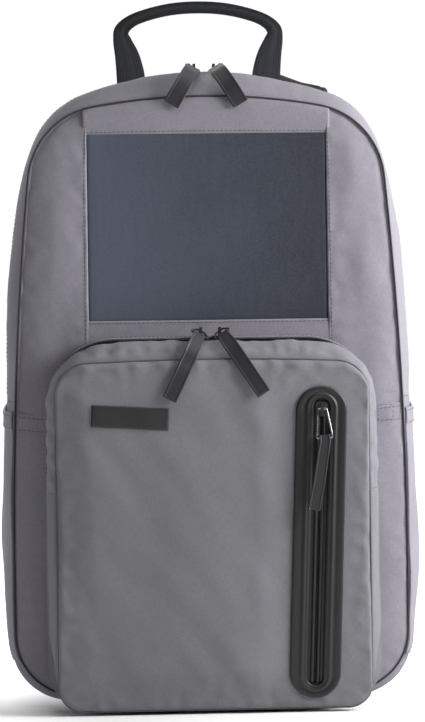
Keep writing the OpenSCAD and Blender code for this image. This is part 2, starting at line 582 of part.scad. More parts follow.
// ---------------------------------------------------------------- grab handle
// Webbing that stands on the rear seam, folded in half along its grip.
handle_y = seam_rear + 2.2;
handle_base = body_top - 1.7;
handle_splay = 10.2;   // the feet follow the top of the back
module grab_handle() color(black) {
  // [x, z, half width, half thickness, lean of the centre line from upright]
  stations = [
    [53, handle_base, 11.5, 0.9, handle_splay], [54, handle_base + 15, 11, 0.9, 6],
    [56.5, handle_base + 29, 9.5, 1, 10], [60, handle_base + 40, 7.5, 1.3, 6],
    [60, handle_base + 48, 6.6, 1.8, -28],
    [52, handle_base + 54.5, 6, 2.1, -62], [38, handle_base + 59.5, 6, 2.1, -74],
    [20, handle_base + 63, 6, 2.1, -83], [0, handle_base + 64, 6, 2.1, -90]];
  right = [for (s = stations) [[s[0], handle_y, s[1]], s[2] * [cos(s[4]), 0, -sin(s[4])], [0, s[3], 0]]];
  n = len(right) - 1;
  left = [for (i = [n - 1:-1:0]) let (s = right[i])
    [[-s[0].x, s[0].y, s[0].z], [s[1].x, 0, -s[1].z] * -1, s[2]]];
  ribbon(concat(right, left));
}

// ---------------------------------------------------------------- shoulder straps
// Right strap: the pad's centre line as [x, y, z], how far its outer edge droops, and its size.
// The left strap lies a little lower over the shoulder.
pad_centre = [
  [68, seam_rear + 14.8, 450], [70, seam_rear + 17, 460], [73, seam_rear + 22, 467],
  [75, seam_rear + 30, 467.5], [77, seam_rear + 38, 460], [80, seam_rear + 45, 440],
  [85, seam_rear + 49, 405], [90, seam_rear + 50, 362], [95, seam_rear + 48, 318],
  [99, seam_rear + 43.5, 276], [103, seam_rear + 38, 240], [105, seam_rear + 34.5, 214]];
pad_droop = [14, 18, 21, 20, 16, 11, 7, 4, 2, 0, 0, 0];
pad_width = [0.92, 0.94, 0.96, 0.98, 1, 1.02, 1.05, 1.06, 1.04, 0.98, 0.86, 0.66];
pad_half_t = [2.8, 3.4, 4.2, 4.8, 5.2, 5.5, 5.5, 5.5, 5.5, 5.4, 5, 4];
left_drop = [0, 2, 5, 6, 5, 3, 1, 0, 0, 0, 0, 0];
module strap_pad(side) color(black) {
  n = len(pad_centre) - 1;
  line = [for (i = [0:n]) pad_centre[i] - [0, 0, side < 0 ? left_drop[i] : 0]];
  ribbon([for (i = [0:n]) let (
      c = line[i],
      d = line[min(i + 1, n)] - line[max(i - 1, 0)],
      w = [cos(pad_droop[i]), 0, -sin(pad_droop[i])],
      across = w - d * (w * d) / (d * d),
      a = across / norm(across),
      out = cross(d, a) / norm(cross(d, a)))
    [[side * c.x, c.y, c.z], strap_w / 2 * pad_width[i] * [a.x, side * a.y, side * a.z],
     pad_half_t[i] * [out.x, side * out.y, side * out.z]]]);
}
module strap_pad_left() strap_pad(-1);
module strap_pad_right() strap_pad(1);

// The ladder lock and webbing share a frame whose Z points up from the bottom anchor.
lock_at = [106.5, seam_rear + 31, 188];
anchor_at = [122, seam_rear + 15, 52];
run = lock_at - anchor_at;
run_z = run / norm(run);
run_x = let (v = [1, 0, 0] - run_z * run_z.x) v / norm(v);
module lower_frame(side) {
  if (side > 0) frame_at(lock_at, run_x, run_z) children();
  else mirror([1, 0, 0]) frame_at(lock_at, run_x, run_z) children();
}
lock_w = webbing_w + 9;
bar_r = 1.9;
module ladder_lock(side) color("#1e1e20") lower_frame(side) {
  for (s = [-1, 1]) translate([s * (lock_w / 2 - 1.8) - 1.8, -2.2, -13]) cube([3.6, 4.4, 27]);
  for (z = [-11, 0, 12]) translate([0, 0, z]) rotate([0, 90, 0])
    cylinder(h = lock_w - 2, r = bar_r, center = true);
}
module ladder_lock_left() ladder_lock(-1);
module ladder_lock_right() ladder_lock(1);

// Webbing: up from the anchor behind the lower bar, round the middle bar and down again as a tail.
webbing_t = 1.5;
turn_r = bar_r + 0.5 + webbing_t / 2;
tail_len = 118;
module strap_webbing(side) color(black) lower_frame(side) {
  path = concat([[-3.4, -norm(run) + 6]], [[-3.4, -60]], [[-turn_r, -9]],
    [for (a = [180:-20:0]) turn_r * [cos(a), sin(a)]],
    [[turn_r + 1.6, -9], [turn_r + 2.4, -40], [turn_r + 1.5, -tail_len]]);
  rotate([90, 0, 90]) translate([0, 0, -webbing_w / 2])
    linear_extrude(webbing_w) polygon(strip(path, webbing_t));
}
module strap_webbing_left() strap_webbing(-1);
module strap_webbing_right() strap_webbing(1);

// What the straps are sewn to: a band across the top of the back, and a wing in each lower side seam.
module strap_anchors() color(black) plate(seam_rear + 11.3, 3) {
  translate([-101, 432]) square([202, 17]);
  for (s = [-1, 1]) polygon([[s * 108, 68], [s * 135, 64], [s * 143, 30], [s * 118, 24]]);
}

// ---------------------------------------------------------------- the object
back_panel();
back_pads();
gusset_front_strip();
gusset_rear_strip();
gusset_lower();
base_board();
base_patch();
front_side_panels();
front_header();
front_centre_panel();
seam_piping();
side_pocket_left();
side_pocket_right();
main_zip_tapes();
main_zip_coils();
pocket_front_strip();
pocket_rear_strip();
pocket_lower_gusset();
pocket_front_panel();
pocket_zip_tapes();
pocket_zip_coils();
label_patch();
welt_patch();
welt_zip();
main_slider_left();
main_loop_left();
main_tab_left();
main_slider_right();
main_loop_right();
main_tab_right();
pocket_slider_left();
pocket_loop_left();
pocket_tab_left();
pocket_slider_right();
pocket_loop_right();
pocket_tab_right();
welt_slider();
welt_loop();
welt_tab();
solar_film();
solar_cells();
solar_backsheet();
solar_junction_box();
solar_cable();
usb_plug();
battery_case_front();
battery_case_rear();
battery_cell();
battery_board();
battery_button();
battery_pocket();
laptop_sleeve();
grab_handle();
strap_pad_left();
strap_pad_right();
ladder_lock_left();
ladder_lock_right();
strap_webbing_left();
strap_webbing_right();
strap_anchors();
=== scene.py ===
import math

import bpy
import numpy as np
from mathutils import Matrix, Vector, noise
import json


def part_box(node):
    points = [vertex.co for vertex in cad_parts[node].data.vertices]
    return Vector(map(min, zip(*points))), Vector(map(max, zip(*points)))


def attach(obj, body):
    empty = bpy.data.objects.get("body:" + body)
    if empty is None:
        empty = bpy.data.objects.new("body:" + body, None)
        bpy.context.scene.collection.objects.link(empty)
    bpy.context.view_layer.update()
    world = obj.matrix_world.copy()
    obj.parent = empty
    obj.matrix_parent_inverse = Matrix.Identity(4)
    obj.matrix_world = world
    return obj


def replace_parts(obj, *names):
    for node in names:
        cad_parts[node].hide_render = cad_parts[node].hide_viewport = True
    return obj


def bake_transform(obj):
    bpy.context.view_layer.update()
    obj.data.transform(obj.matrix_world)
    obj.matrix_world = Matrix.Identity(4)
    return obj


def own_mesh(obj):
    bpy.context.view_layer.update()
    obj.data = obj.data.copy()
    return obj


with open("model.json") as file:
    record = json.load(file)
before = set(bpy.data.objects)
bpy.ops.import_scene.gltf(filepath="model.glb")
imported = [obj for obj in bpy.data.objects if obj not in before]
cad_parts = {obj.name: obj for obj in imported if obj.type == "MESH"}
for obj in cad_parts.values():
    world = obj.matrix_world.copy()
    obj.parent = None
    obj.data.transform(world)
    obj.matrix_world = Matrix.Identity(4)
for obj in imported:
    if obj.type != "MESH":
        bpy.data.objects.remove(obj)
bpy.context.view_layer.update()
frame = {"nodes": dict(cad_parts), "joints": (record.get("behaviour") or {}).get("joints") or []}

mm = 0.001
scene = bpy.context.scene
sides = ((-1, "left"), (1, "right"))

# ---------------------------------------------------------------- camera
# A long lens at half the bag's height, a little to the bag's left, with the bag leaning a hair
# to the left in the frame.
seam_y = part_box("front_side_panels")[1].y
camera_turn = math.radians(-2.5)
camera_roll = math.radians(-0.8)
camera_far = 1.8
camera_height = 0.254
camera_aim = Vector((0.0025, seam_y, camera_height))
lens = bpy.data.cameras.new("camera")
lens.lens = 121.2
lens.sensor_width = 36
camera = bpy.data.objects.new("camera", lens)
away = Vector((math.sin(camera_turn), -math.cos(camera_turn), 0))
camera.location = camera_aim + camera_far * away
camera.rotation_euler = (away.to_track_quat("Z", "Y").to_matrix()
                         @ Matrix.Rotation(camera_roll, 3, "Z")).to_euler()
scene.collection.objects.link(camera)
scene.camera = camera

# ---------------------------------------------------------------- room
# A white floor and surround that are bright behind the bag, with one soft lamp close on the right,
# so that the cloth falls off to the left, one above and one behind.
scene.view_settings.view_transform = "Standard"
floor_half = 6.0
floor_mesh = bpy.data.meshes.new("floor")
floor_level = -0.5 * mm
floor_corners = ((-1, -1), (1, -1), (1, 1), (-1, 1))
floor_mesh.from_pydata([(x * floor_half, y * floor_half, floor_level) for x, y in floor_corners],
                       [], [(0, 1, 2, 3)])
floor = bpy.data.objects.new("floor", floor_mesh)
scene.collection.objects.link(floor)
floor_paint = bpy.data.materials.new("floor")
floor_paint.use_nodes = True
floor_tree = floor_paint.node_tree
floor_shader = floor_tree.nodes["Principled BSDF"]
for name, value in (("Base Color", (0.86, 0.86, 0.86, 1)), ("Roughness", 0.9), ("Specular IOR Level", 0.1),
                    ("Emission Strength", 1.0)):
    floor_shader.inputs[name].default_value = value


def by_depth(tree, output, near, far, low, high):
    """A value that rises from low to high between two depths along Y."""
    split = tree.nodes.new("ShaderNodeSeparateXYZ")
    tree.links.new(tree.nodes.new("ShaderNodeTexCoord").outputs[output], split.inputs[0])
    rise = tree.nodes.new("ShaderNodeMapRange")
    for socket, value in zip(rise.inputs[1:5], (near, far, low, high)):
        socket.default_value = value
    tree.links.new(split.outputs["Y"], rise.inputs[0])
    return rise.outputs[0]


floor_tree.links.new(by_depth(floor_tree, "Object", -0.08, 0.06, 0.0, 0.85),
                     floor_shader.inputs["Emission Color"])
floor.data.materials.append(floor_paint)


def lamp(name, place, target, size, power):
    """A square area lamp that faces a point."""
    light = bpy.data.lights.new(name, "AREA")
    light.size = size
    light.energy = power
    holder = bpy.data.objects.new(name, light)
    holder.location = place
    holder.rotation_euler = (Vector(place) - Vector(target)).to_track_quat("Z", "Y").to_euler()
    scene.collection.objects.link(holder)


lamp("key", (0.68, -0.30, 0.52), (0, -0.05, 0.26), 0.42, 11)
lamp("top", (0.05, -0.3, 1.5), (0, 0, 0.4), 0.9, 7)
lamp("back", (-0.6, 1.7, 1.1), (0, 0, 0.3), 1.0, 16)
surround = bpy.data.worlds.new("surround")
surround.use_nodes = True
sky = surround.node_tree
sky.nodes["Background"].inputs["Color"].default_value = (1, 1, 1, 1)
sky.links.new(by_depth(sky, "Generated", -0.2, 0.6, 0.08, 1.02),
              sky.nodes["Background"].inputs["Strength"])
scene.world = surround


# ---------------------------------------------------------------- materials
class Value:
    """A socket of a material, with arithmetic."""

    def __init__(self, finish, socket):
        self.finish = finish
        self.socket = socket

    def _math(self, operation, a, b):
        return self.finish.add("ShaderNodeMath", {"operation": operation}, [a, b])

    def __add__(self, other):
        return self._math("ADD", self, other)

    def __sub__(self, other):
        return self._math("SUBTRACT", self, other)

    def __rsub__(self, other):
        return self._math("SUBTRACT", other, self)

    def __mul__(self, other):
        return self._math("MULTIPLY", self, other)

    def __pow__(self, other):
        return self._math("POWER", self, other)

    __radd__ = __add__
    __rmul__ = __mul__


class Finish:
    """A material with one Principled shader, and a method that adds any other node."""

    def __init__(self, name, colour, roughness, sheen=0.0, metallic=0.0, specular=0.5, coat=0.0):
        self.material = bpy.data.materials.new(name)
        self.material.use_nodes = True
        self.tree = self.material.node_tree
        self.shader = self.tree.nodes["Principled BSDF"]
        self.set("Base Color", (*colour, 1))
        self.set("Roughness", roughness)
        self.set("Sheen Weight", sheen)
        self.set("Metallic", metallic)
        self.set("Specular IOR Level", specular)
        self.set("Coat Weight", coat)
        self.colour = colour

    def set(self, name, value):
        if isinstance(value, Value):
            self.tree.links.new(value.socket, self.shader.inputs[name])
        else:
            self.shader.inputs[name].default_value = value

    def add(self, kind, settings=(), inputs=(), output=0):
        """Adds a node. settings are its properties; inputs are a list, or a dict by socket."""
        node = self.tree.nodes.new(kind)
        for key, value in dict(settings).items():
            setattr(node, key, value)
        pairs = inputs.items() if isinstance(inputs, dict) else enumerate(inputs)
        for key, value in pairs:
            if isinstance(value, Value):
                self.tree.links.new(value.socket, node.inputs[key])
            else:
                node.inputs[key].default_value = value
        return Value(self, node.outputs[output])

    def place(self, layer=None):
        """Object coordinates, or a piece's own UV map by name."""
        if layer:
            return self.add("ShaderNodeUVMap", {"uv_map": layer})
        return self.add("ShaderNodeTexCoord", output="Object")

    def noise(self, where, scale, detail=2.0, rough=0.5, stretch=(1, 1, 1)):
        moved = self.add("ShaderNodeMapping", {}, {"Vector": where, "Scale": stretch})
        return self.add("ShaderNodeTexNoise", {}, {"Vector": moved, "Scale": scale, "Detail": detail,
                                                   "Roughness": rough})

    def tint(self, factor, light, dark):
        """A colour between dark and light multiples of the finish's own colour."""
        a = tuple(c * dark for c in self.colour) + (1,)
        b = tuple(min(1, c * light) for c in self.colour) + (1,)
        return self.add("ShaderNodeMix", {"data_type": "RGBA"}, {0: factor, 6: a, 7: b}, output=2)

    def bump(self, height, distance, strength=1.0):
        self.set("Normal", self.add("ShaderNodeBump", {}, {"Height": height, "Distance": distance,
                                                           "Strength": strength}))

    def speckle(self, scale, detail=2.0):
        """Noise in object coordinates."""
        return self.noise(self.place(), scale, detail=detail)

    def grain(self, scale, distance, detail=2.0):
        """A fine random relief."""
        self.bump(self.speckle(scale, detail), distance)


def woven(name, colour, pitch, roughness=0.82, relief=0.00006, slub=0.1, mottle=0.1, sheen=0.0):
    """Plain-weave cloth: yarns over and under at a pitch in metres, slubs along them, soft mottling."""
    cloth = Finish(name, colour, roughness, sheen=sheen, specular=0.25)
    uv = cloth.place("cloth")
    split = cloth.add("ShaderNodeSeparateXYZ", {}, [uv])
    across = Value(cloth, split.socket.node.outputs[1])
    turn = math.tau / pitch
    warp = cloth.add("ShaderNodeMath", {"operation": "SINE"}, [split * turn])
    weft = cloth.add("ShaderNodeMath", {"operation": "SINE"}, [across * turn])
    weave = warp * weft * 0.5 + 0.5
    along = cloth.noise(uv, 1 / (pitch * 9), stretch=(1, 9, 1))
    over = cloth.noise(uv, 1 / (pitch * 9), stretch=(9, 1, 1))
    cloud = cloth.speckle(9.0, detail=3.0)
    shade = 0.5 + (weave - 0.5) * 0.22 + (along + over - 1.0) * (slub * 6) + (cloud - 0.5) * (mottle * 4)
    cloth.set("Base Color", cloth.tint(shade, 1.22, 0.80))
    cloth.set("Roughness", roughness + (along - 0.5) * 0.12)
    cloth.bump(weave + along * 0.5 + over * 0.5, relief)
    return cloth


body_cloth = woven("body_cloth", (0.218, 0.208, 0.240), 0.55 * mm, slub=0.14, mottle=0.14)
trim_cloth = woven("trim_cloth", (0.016, 0.016, 0.018), 0.8 * mm)
piping_cloth = woven("piping_cloth", (0.040, 0.039, 0.046), 0.6 * mm)
# The pocket cord's dark grey is partly the seam's own dark edges and partly painted shade in the crease of the
# pocket's seam.
pocket_cord_and_painted_shade = woven("pocket_cord_and_painted_shade", (0.095, 0.094, 0.104), 0.6 * mm)


def outline(top, bottom, arcs, inset=0.0):
    """Half of a seam's outline, from the top centre to the bottom centre, as [radius, heading] arcs.
    A heading is in degrees, from 0 at the top centre to 180. The arc of radius 0 closes the height."""
    heads = [0.0] + [math.radians(head) for _, head in arcs]
    drops = [math.cos(a) - math.cos(b) for a, b in zip(heads, heads[1:])]
    rest = top - bottom - sum(radius * drop for (radius, _), drop in zip(arcs, drops))
    closing = rest / sum(drop for (radius, _), drop in zip(arcs, drops) if radius == 0)
    points = []
    here = np.array([0.0, top - inset])
    for (radius, _), a, b in zip(arcs, heads, heads[1:]):
        r = (radius or closing) - inset
        turn = np.linspace(a, b, 40)
        points.append(here + r * np.stack([np.sin(turn) - math.sin(a), np.cos(turn) - math.cos(a)], 1))
        here = points[-1][-1]
    points.append(np.array([[0.0, bottom + inset]]))
    return np.concatenate(points)


def unit(vectors):
    return vectors / np.linalg.norm(vectors, axis=-1, keepdims=True)


def stood(x, y, z):
    """Points from their coordinates, spread to one shape."""
    return np.stack(np.broadcast_arrays(x, y, z), -1)


def hump(run, middle, width, power=2):
    """A smooth bump of height 1 along a run."""
    return np.exp(-((run - middle) / width) ** power)


def to_rim(a, b, low, high):
    """How far points are from the nearest edge of a rectangle."""
    return np.minimum.reduce([a - low[0], high[0] - a, b - low[1], high[1] - b])


def headings(line):
    """The unit direction of a line at each of its points."""
    return unit(np.gradient(line, axis=0))


def along(points):
    """How far along a line each of its points is."""
    return np.concatenate([[0], np.cumsum(np.linalg.norm(np.diff(points, axis=0), axis=1))])


def even(points, count):
    """The same line with evenly spaced points."""
    run = along(points)
    at = np.linspace(0, run[-1], count)
    return np.stack([np.interp(at, run, points[:, k]) for k in range(points.shape[1])], 1)


def between(points, high, low, count):
    """The stretch of a half outline between two heights, evenly spaced."""
    run = np.arange(len(points))
    ends = [np.interp(-z, -points[:, 1], run) for z in (high, low)]
    inner = run[(run > ends[0]) & (run < ends[1])]
    at = np.concatenate([[ends[0]], inner, [ends[1]]])
    return even(np.stack([np.interp(at, run, points[:, k]) for k in (0, 1)], 1), count)


def width_at(line, z):
    """Half the width of an outline at each height."""
    return np.interp(-np.asarray(z), -line[:, 1], line[:, 0])


def curve_points(points, steps):
    """A smooth curve through points."""
    p = np.asarray(points, float)
    p = np.concatenate([p[:1], p, p[-1:]])
    t = np.linspace(0, 1, steps, endpoint=False)[:, None]
    out = [0.5 * (2 * b + (c - a) * t + (2 * a - 5 * b + 4 * c - d) * t ** 2
                  + (3 * b - a - 3 * c + d) * t ** 3)
           for a, b, c, d in zip(p, p[1:], p[2:], p[3:])]
    return np.concatenate(out + [p[-1:]])


seam_arcs = (0.451, 0.008, [(0.480, 10), (0.060, 84.5), (0, 91), (0.045, 180)])
seam_line = outline(*seam_arcs)
ridge_arcs = (0.4705, 0.002, [(0.265, 20), (0.065, 72), (0.340, 84), (0.990, 90), (0, 90.3), (0.044, 180)])
ridge_line = outline(*ridge_arcs)
back_arcs = (0.472, 0.004, [(0.300, 15), (0.062, 82), (0, 91), (0.045, 180)])
back_line = outline(*back_arcs)


def normals(grid):
    """Unit normals of a grid of points. They face the viewer where rows go down and columns go right."""
    n = np.cross(np.gradient(grid, axis=0), np.gradient(grid, axis=1))
    return n / np.maximum(np.linalg.norm(n, axis=2, keepdims=True), 1e-12)


def ripple(grid, size, seed):
    """Smooth noise from -1 to 1 at each point of a grid. size is a length, or one along each axis."""
    spots = (grid / np.asarray(size, float) + seed * 7.31).reshape(-1, 3)
    return np.array([noise.noise(Vector(p)) for p in spots]).reshape(grid.shape[:-1])


def ramp(x, a, b):
    t = np.clip((x - a) / (b - a), 0, 1)
    return t * t * (3 - 2 * t)


def mesh_piece(name, points, faces, uvs, finish, body):
    """A smooth mesh that rides on a body, with a UV map in metres for the weave."""
    mesh = bpy.data.meshes.new(name)
    mesh.from_pydata(np.asarray(points).tolist(), [], faces)
    layer = mesh.uv_layers.new(name="cloth")
    layer.data.foreach_set("uv", np.asarray(uvs, np.float32).ravel())
    mesh.polygons.foreach_set("use_smooth", [True] * len(mesh.polygons))
    mesh.materials.append(finish.material)
    piece = bpy.data.objects.new(name, mesh)
    scene.collection.objects.link(piece)
    if body:
        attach(piece, body)
    return piece


def sheet_piece(name, grid, finish, thick, body, closed=False,
                back=None):
    """A closed sheet of cloth behind a grid of points. Rows run down it and columns along it.
    A padded piece has a flat back at a depth along Y instead of a thickness."""
    wide = np.concatenate([grid, grid[:, :1]], axis=1) if closed else grid
    rows, cols = wide.shape[:2]
    out = normals(wide)
    if closed:
        out[:, 0] = out[:, -1] = out[:, 0] + out[:, -1]
        out = unit(out)
    inner = wide - out * thick
    if back is not None:
        inner = wide * (1, 0, 1) + (0, back, 0)
    run_u = np.linalg.norm(np.diff(wide, axis=1), axis=2)
    run_v = np.linalg.norm(np.diff(wide, axis=0), axis=2)
    u = np.concatenate([[0], np.cumsum(run_u.mean(0))])
    v = np.concatenate([[0], np.cumsum(run_v.mean(1))])
    keep = cols - 1 if closed else cols
    points = np.concatenate([wide[:, :keep].reshape(-1, 3), inner[:, :keep].reshape(-1, 3)])
    faces, uvs = [], []

    def face(*corners):
        faces.append([side * rows * keep + i * keep + j % keep for i, j, side in corners])
        uvs.extend((u[j], v[i]) for i, j, side in corners)

    for i in range(rows - 1):
        for j in range(cols - 1):
            face((i, j, 0), (i + 1, j, 0), (i + 1, j + 1, 0), (i, j + 1, 0))
            face((i, j, 1), (i, j + 1, 1), (i + 1, j + 1, 1), (i + 1, j, 1))
    for j in range(cols - 1):
        face((0, j, 0), (0, j + 1, 0), (0, j + 1, 1), (0, j, 1))
        face((rows - 1, j, 0), (rows - 1, j, 1), (rows - 1, j + 1, 1), (rows - 1, j + 1, 0))
    if not closed:
        for i in range(rows - 1):
            face((i, 0, 0), (i, 0, 1), (i + 1, 0, 1), (i + 1, 0, 0))
            face((i, cols - 1, 0), (i + 1, cols - 1, 0), (i + 1, cols - 1, 1), (i, cols - 1, 1))
    piece = mesh_piece(name, points, faces, uvs, finish, body)
    quads = np.cross(wide[1:, 1:] - wide[:-1, :-1], wide[1:, :-1] - wide[:-1, 1:])
    return piece


def tube_piece(name, centres, a, b, profile, finish, body, closed=False):
    """A solid round a line. a and b are each station's half-width and half-thickness vectors, and
    profile is the section's points, drawn from -1 to 1 clockwise as seen along the line."""
    centres, a, b, profile = (np.asarray(x, float) for x in (centres, a, b, profile))
    rings = centres[:, None] + a[:, None] * profile[None, :, :1] + b[:, None] * profile[None, :, 1:]
    rows, cols = rings.shape[:2]
    rim = np.concatenate([[0], np.cumsum(np.linalg.norm(np.diff(rings[0], axis=0), axis=1))])
    rim = np.append(rim, rim[-1] + np.linalg.norm(rings[0, 0] - rings[0, -1]))
    run = np.append(along(centres), 0)
    run[-1] = run[-2] + np.linalg.norm(centres[0] - centres[-1])
    faces, uvs = [], []
    for i in range(rows if closed else rows - 1):
        for j in range(cols):
            k, m = (i + 1) % rows, (j + 1) % cols
            faces.append([i * cols + j, k * cols + j, k * cols + m, i * cols + m])
            uvs += [(rim[j], run[i]), (rim[j], run[i + 1]), (rim[j + 1], run[i + 1]), (rim[j + 1], run[i])]
    points = rings.reshape(-1, 3)
    if not closed:
        for end, order in ((0, 1), (rows - 1, -1)):
            points = np.concatenate([points, rings[end].mean(0)[None]])
            for j in range(cols):
                trio = [len(points) - 1, end * cols + j, end * cols + (j + 1) % cols]
                faces.append(trio[::order])
                uvs += [(0, 0), (0, 0.001), (0.001, 0.001)]
    return mesh_piece(name, points, faces, uvs, finish, body)


def rounded(power, count, ribs=0, rib=0.0):
    """A section between an ellipse (power 1) and a box (power near 0), with ribs on its two faces."""
    turn = -np.linspace(0, math.tau, count, endpoint=False)
    x = np.sign(np.cos(turn)) * np.abs(np.cos(turn)) ** power
    y = np.sign(np.sin(turn)) * np.abs(np.sin(turn)) ** power
    y = y * (1 + rib * np.cos(ribs * math.pi * x) * (np.abs(y) > 0.5))
    return np.stack([x, y], 1)


def round_wire(name, points, radius, finish, body, closed=True, up=None):
    """A wire of round section through points."""
    p = np.asarray(points, float)
    d = unit(np.roll(p, -1, 0) - np.roll(p, 1, 0)) if closed else headings(p)
    if up is None:
        up = np.cross(p[len(p) // 3] - p[0], p[2 * len(p) // 3] - p[0])
    a = unit(np.cross(d, up))
    return tube_piece(name, p, a * radius, np.cross(d, a) * radius, rounded(1, 12), finish, body,
                      closed)


def rounded_loop(corners, radius, steps=5):
    """A closed line with its corners rounded."""
    p = np.asarray(corners, float)
    out = []
    for before, here, after in zip(np.roll(p, 1, 0), p, np.roll(p, -1, 0)):
        a = here + unit(before - here) * radius
        b = here + unit(after - here) * radius
        for t in np.linspace(0, 1, steps):
            out.append(a * (1 - t) ** 2 + 2 * here * t * (1 - t) + b * t * t)
    return np.array(out)


def on_grid(grid, rows, cols, lift=0.12 * mm):
    """Points and normals of a grid at fractional rows and columns, for a line of stitches."""
    n = normals(grid)
    i, j = np.broadcast_arrays(np.asarray(rows, float), np.asarray(cols, float))
    i0 = np.clip(i.astype(int), 0, grid.shape[0] - 2)
    j0 = np.clip(j.astype(int), 0, grid.shape[1] - 2)
    s, t = (i - i0)[:, None], (j - j0)[:, None]

    def blend(g):
        here, below = (g[k, j0] * (1 - t) + g[k, j0 + 1] * t for k in (i0, i0 + 1))
        return here * (1 - s) + below * s

    up = blend(n)
    return blend(grid) + up * lift, up


def row_at(grid, distance):
    """The fractional row at a distance from a grid's top edge, or from its bottom edge if negative."""
    run = along(grid.mean(1))
    return float(np.interp(distance if distance > 0 else run[-1] + distance, run, np.arange(len(run))))


def col_at(grid, distance):
    return row_at(grid.transpose(1, 0, 2), distance)


def sew_row(grid, distance, first=0.0, last=1.0):
    """A line of stitches along a grid's rows, at a distance from its edge."""
    cols = np.linspace(first, last, 160) * (grid.shape[1] - 1)
    return on_grid(grid, row_at(grid, distance), cols)


def sew_col(grid, distance, first=0.0, last=1.0):
    rows = np.linspace(first, last, 160) * (grid.shape[0] - 1)
    return on_grid(grid, rows, col_at(grid, distance))


def repeat_along(name, runs, pitch, size, finish, body, turn=0.0):
    """Small rounded beads at a pitch along lines, made by Geometry Nodes. A run is (points, ups)."""
    lines = bpy.data.meshes.new(name)
    points, ups, edges = [], [], []
    for path, up in runs:
        edges += [(k, k + 1) for k in range(len(points), len(points) + len(path) - 1)]
        points += np.asarray(path).tolist()
        ups += np.asarray(up).tolist()
    lines.from_pydata(points, edges, [])
    layer = lines.attributes.new("up", "FLOAT_VECTOR", "POINT")
    layer.data.foreach_set("vector", np.array(ups, np.float32).ravel())
    piece = bpy.data.objects.new(name, lines)
    scene.collection.objects.link(piece)
    group = bpy.data.node_groups.new(name, "GeometryNodeTree")
    sockets = {}
    for label, kind in (("Lines", "Geometry"), ("Pitch", "Float"), ("Size", "Vector"), ("Turn", "Float"),
                        ("Finish", "Material")):
        sockets[label] = group.interface.new_socket(label, in_out="INPUT",
                                                    socket_type="NodeSocket" + kind).identifier
    group.interface.new_socket("Beads", in_out="OUTPUT", socket_type="NodeSocketGeometry")

    def node(kind, links=(), **settings):
        made = group.nodes.new(kind)
        for key, value in settings.items():
            setattr(made, key, value)
        for key, value in dict(links).items():
            if isinstance(value, bpy.types.NodeSocket):
                group.links.new(value, made.inputs[key])
            else:
                made.inputs[key].default_value = value
        return made

    given = node("NodeGroupInput").outputs
    curve = node("GeometryNodeMeshToCurve", {"Mesh": given["Lines"]}).outputs[0]
    spaced = node("GeometryNodeResampleCurve", {"Curve": curve, "Length": given["Pitch"]},
                  mode="LENGTH").outputs[0]
    up = node("GeometryNodeInputNamedAttribute", {"Name": "up"}, data_type="FLOAT_VECTOR").outputs[0]
    tangent = node("GeometryNodeInputTangent").outputs[0]
    facing = node("FunctionNodeAlignRotationToVector", {"Vector": tangent}, axis="X").outputs[0]
    facing = node("FunctionNodeAlignRotationToVector", {"Rotation": facing, "Vector": up}, axis="Z",
                  pivot_axis="X").outputs[0]
    spin = node("ShaderNodeCombineXYZ", {"Z": given["Turn"]}).outputs[0]
    facing = node("FunctionNodeRotateRotation", {"Rotation": facing, "Rotate By": spin},
                  rotation_space="LOCAL").outputs[0]
    bead = node("GeometryNodeMeshUVSphere", {"Segments": 8, "Rings": 5, "Radius": 1.0}).outputs[0]
    copies = node("GeometryNodeInstanceOnPoints", {"Points": spaced, "Instance": bead, "Rotation": facing,
                                                   "Scale": given["Size"]}).outputs[0]
    real = node("GeometryNodeRealizeInstances", {"Geometry": copies}).outputs[0]
    smooth = node("GeometryNodeSetShadeSmooth", {"Geometry": real}).outputs[0]
    painted = node("GeometryNodeSetMaterial", {"Geometry": smooth, "Material": given["Finish"]}).outputs[0]
    node("NodeGroupOutput", {"Beads": painted})
    modifier = piece.modifiers.new("beads", "NODES")
    modifier.node_group = group
    for label, value in (("Pitch", pitch), ("Size", size), ("Turn", turn), ("Finish", finish.material)):
        modifier[sockets[label]] = value
    bpy.context.view_layer.update()
    made = bpy.data.meshes.new_from_object(piece.evaluated_get(bpy.context.evaluated_depsgraph_get()))
    piece.modifiers.clear()
    piece.data = made
    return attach(piece, body)


stitch_size = (1.25 * mm, 0.24 * mm, 0.2 * mm)
stitch_pitch = 3.3 * mm
thread = Finish("thread", (0.045, 0.044, 0.052), 0.7)
thread.grain(4000.0, 0.00003)
body_stitches = []
pocket_stitches = []


def spread(a, b, rows):
    """A grid whose rows go from line a to line b."""
    t = np.asarray(rows)[:, None, None]
    return a[None] * (1 - t) + b[None] * t


def flat_rows(count, edge=0.06, fine=6):
    """Row positions from 0 to 1, closer together near both ends."""
    near = np.linspace(0, edge, fine)
    return np.concatenate([near[:-1], np.linspace(edge, 1 - edge, count), 1 - near[::-1][1:]])


def upright(line, y):
    """A line of (x, z) points stood in the plane y."""
    return np.stack([line[:, 0], np.full(len(line), y), line[:, 1]], 1)


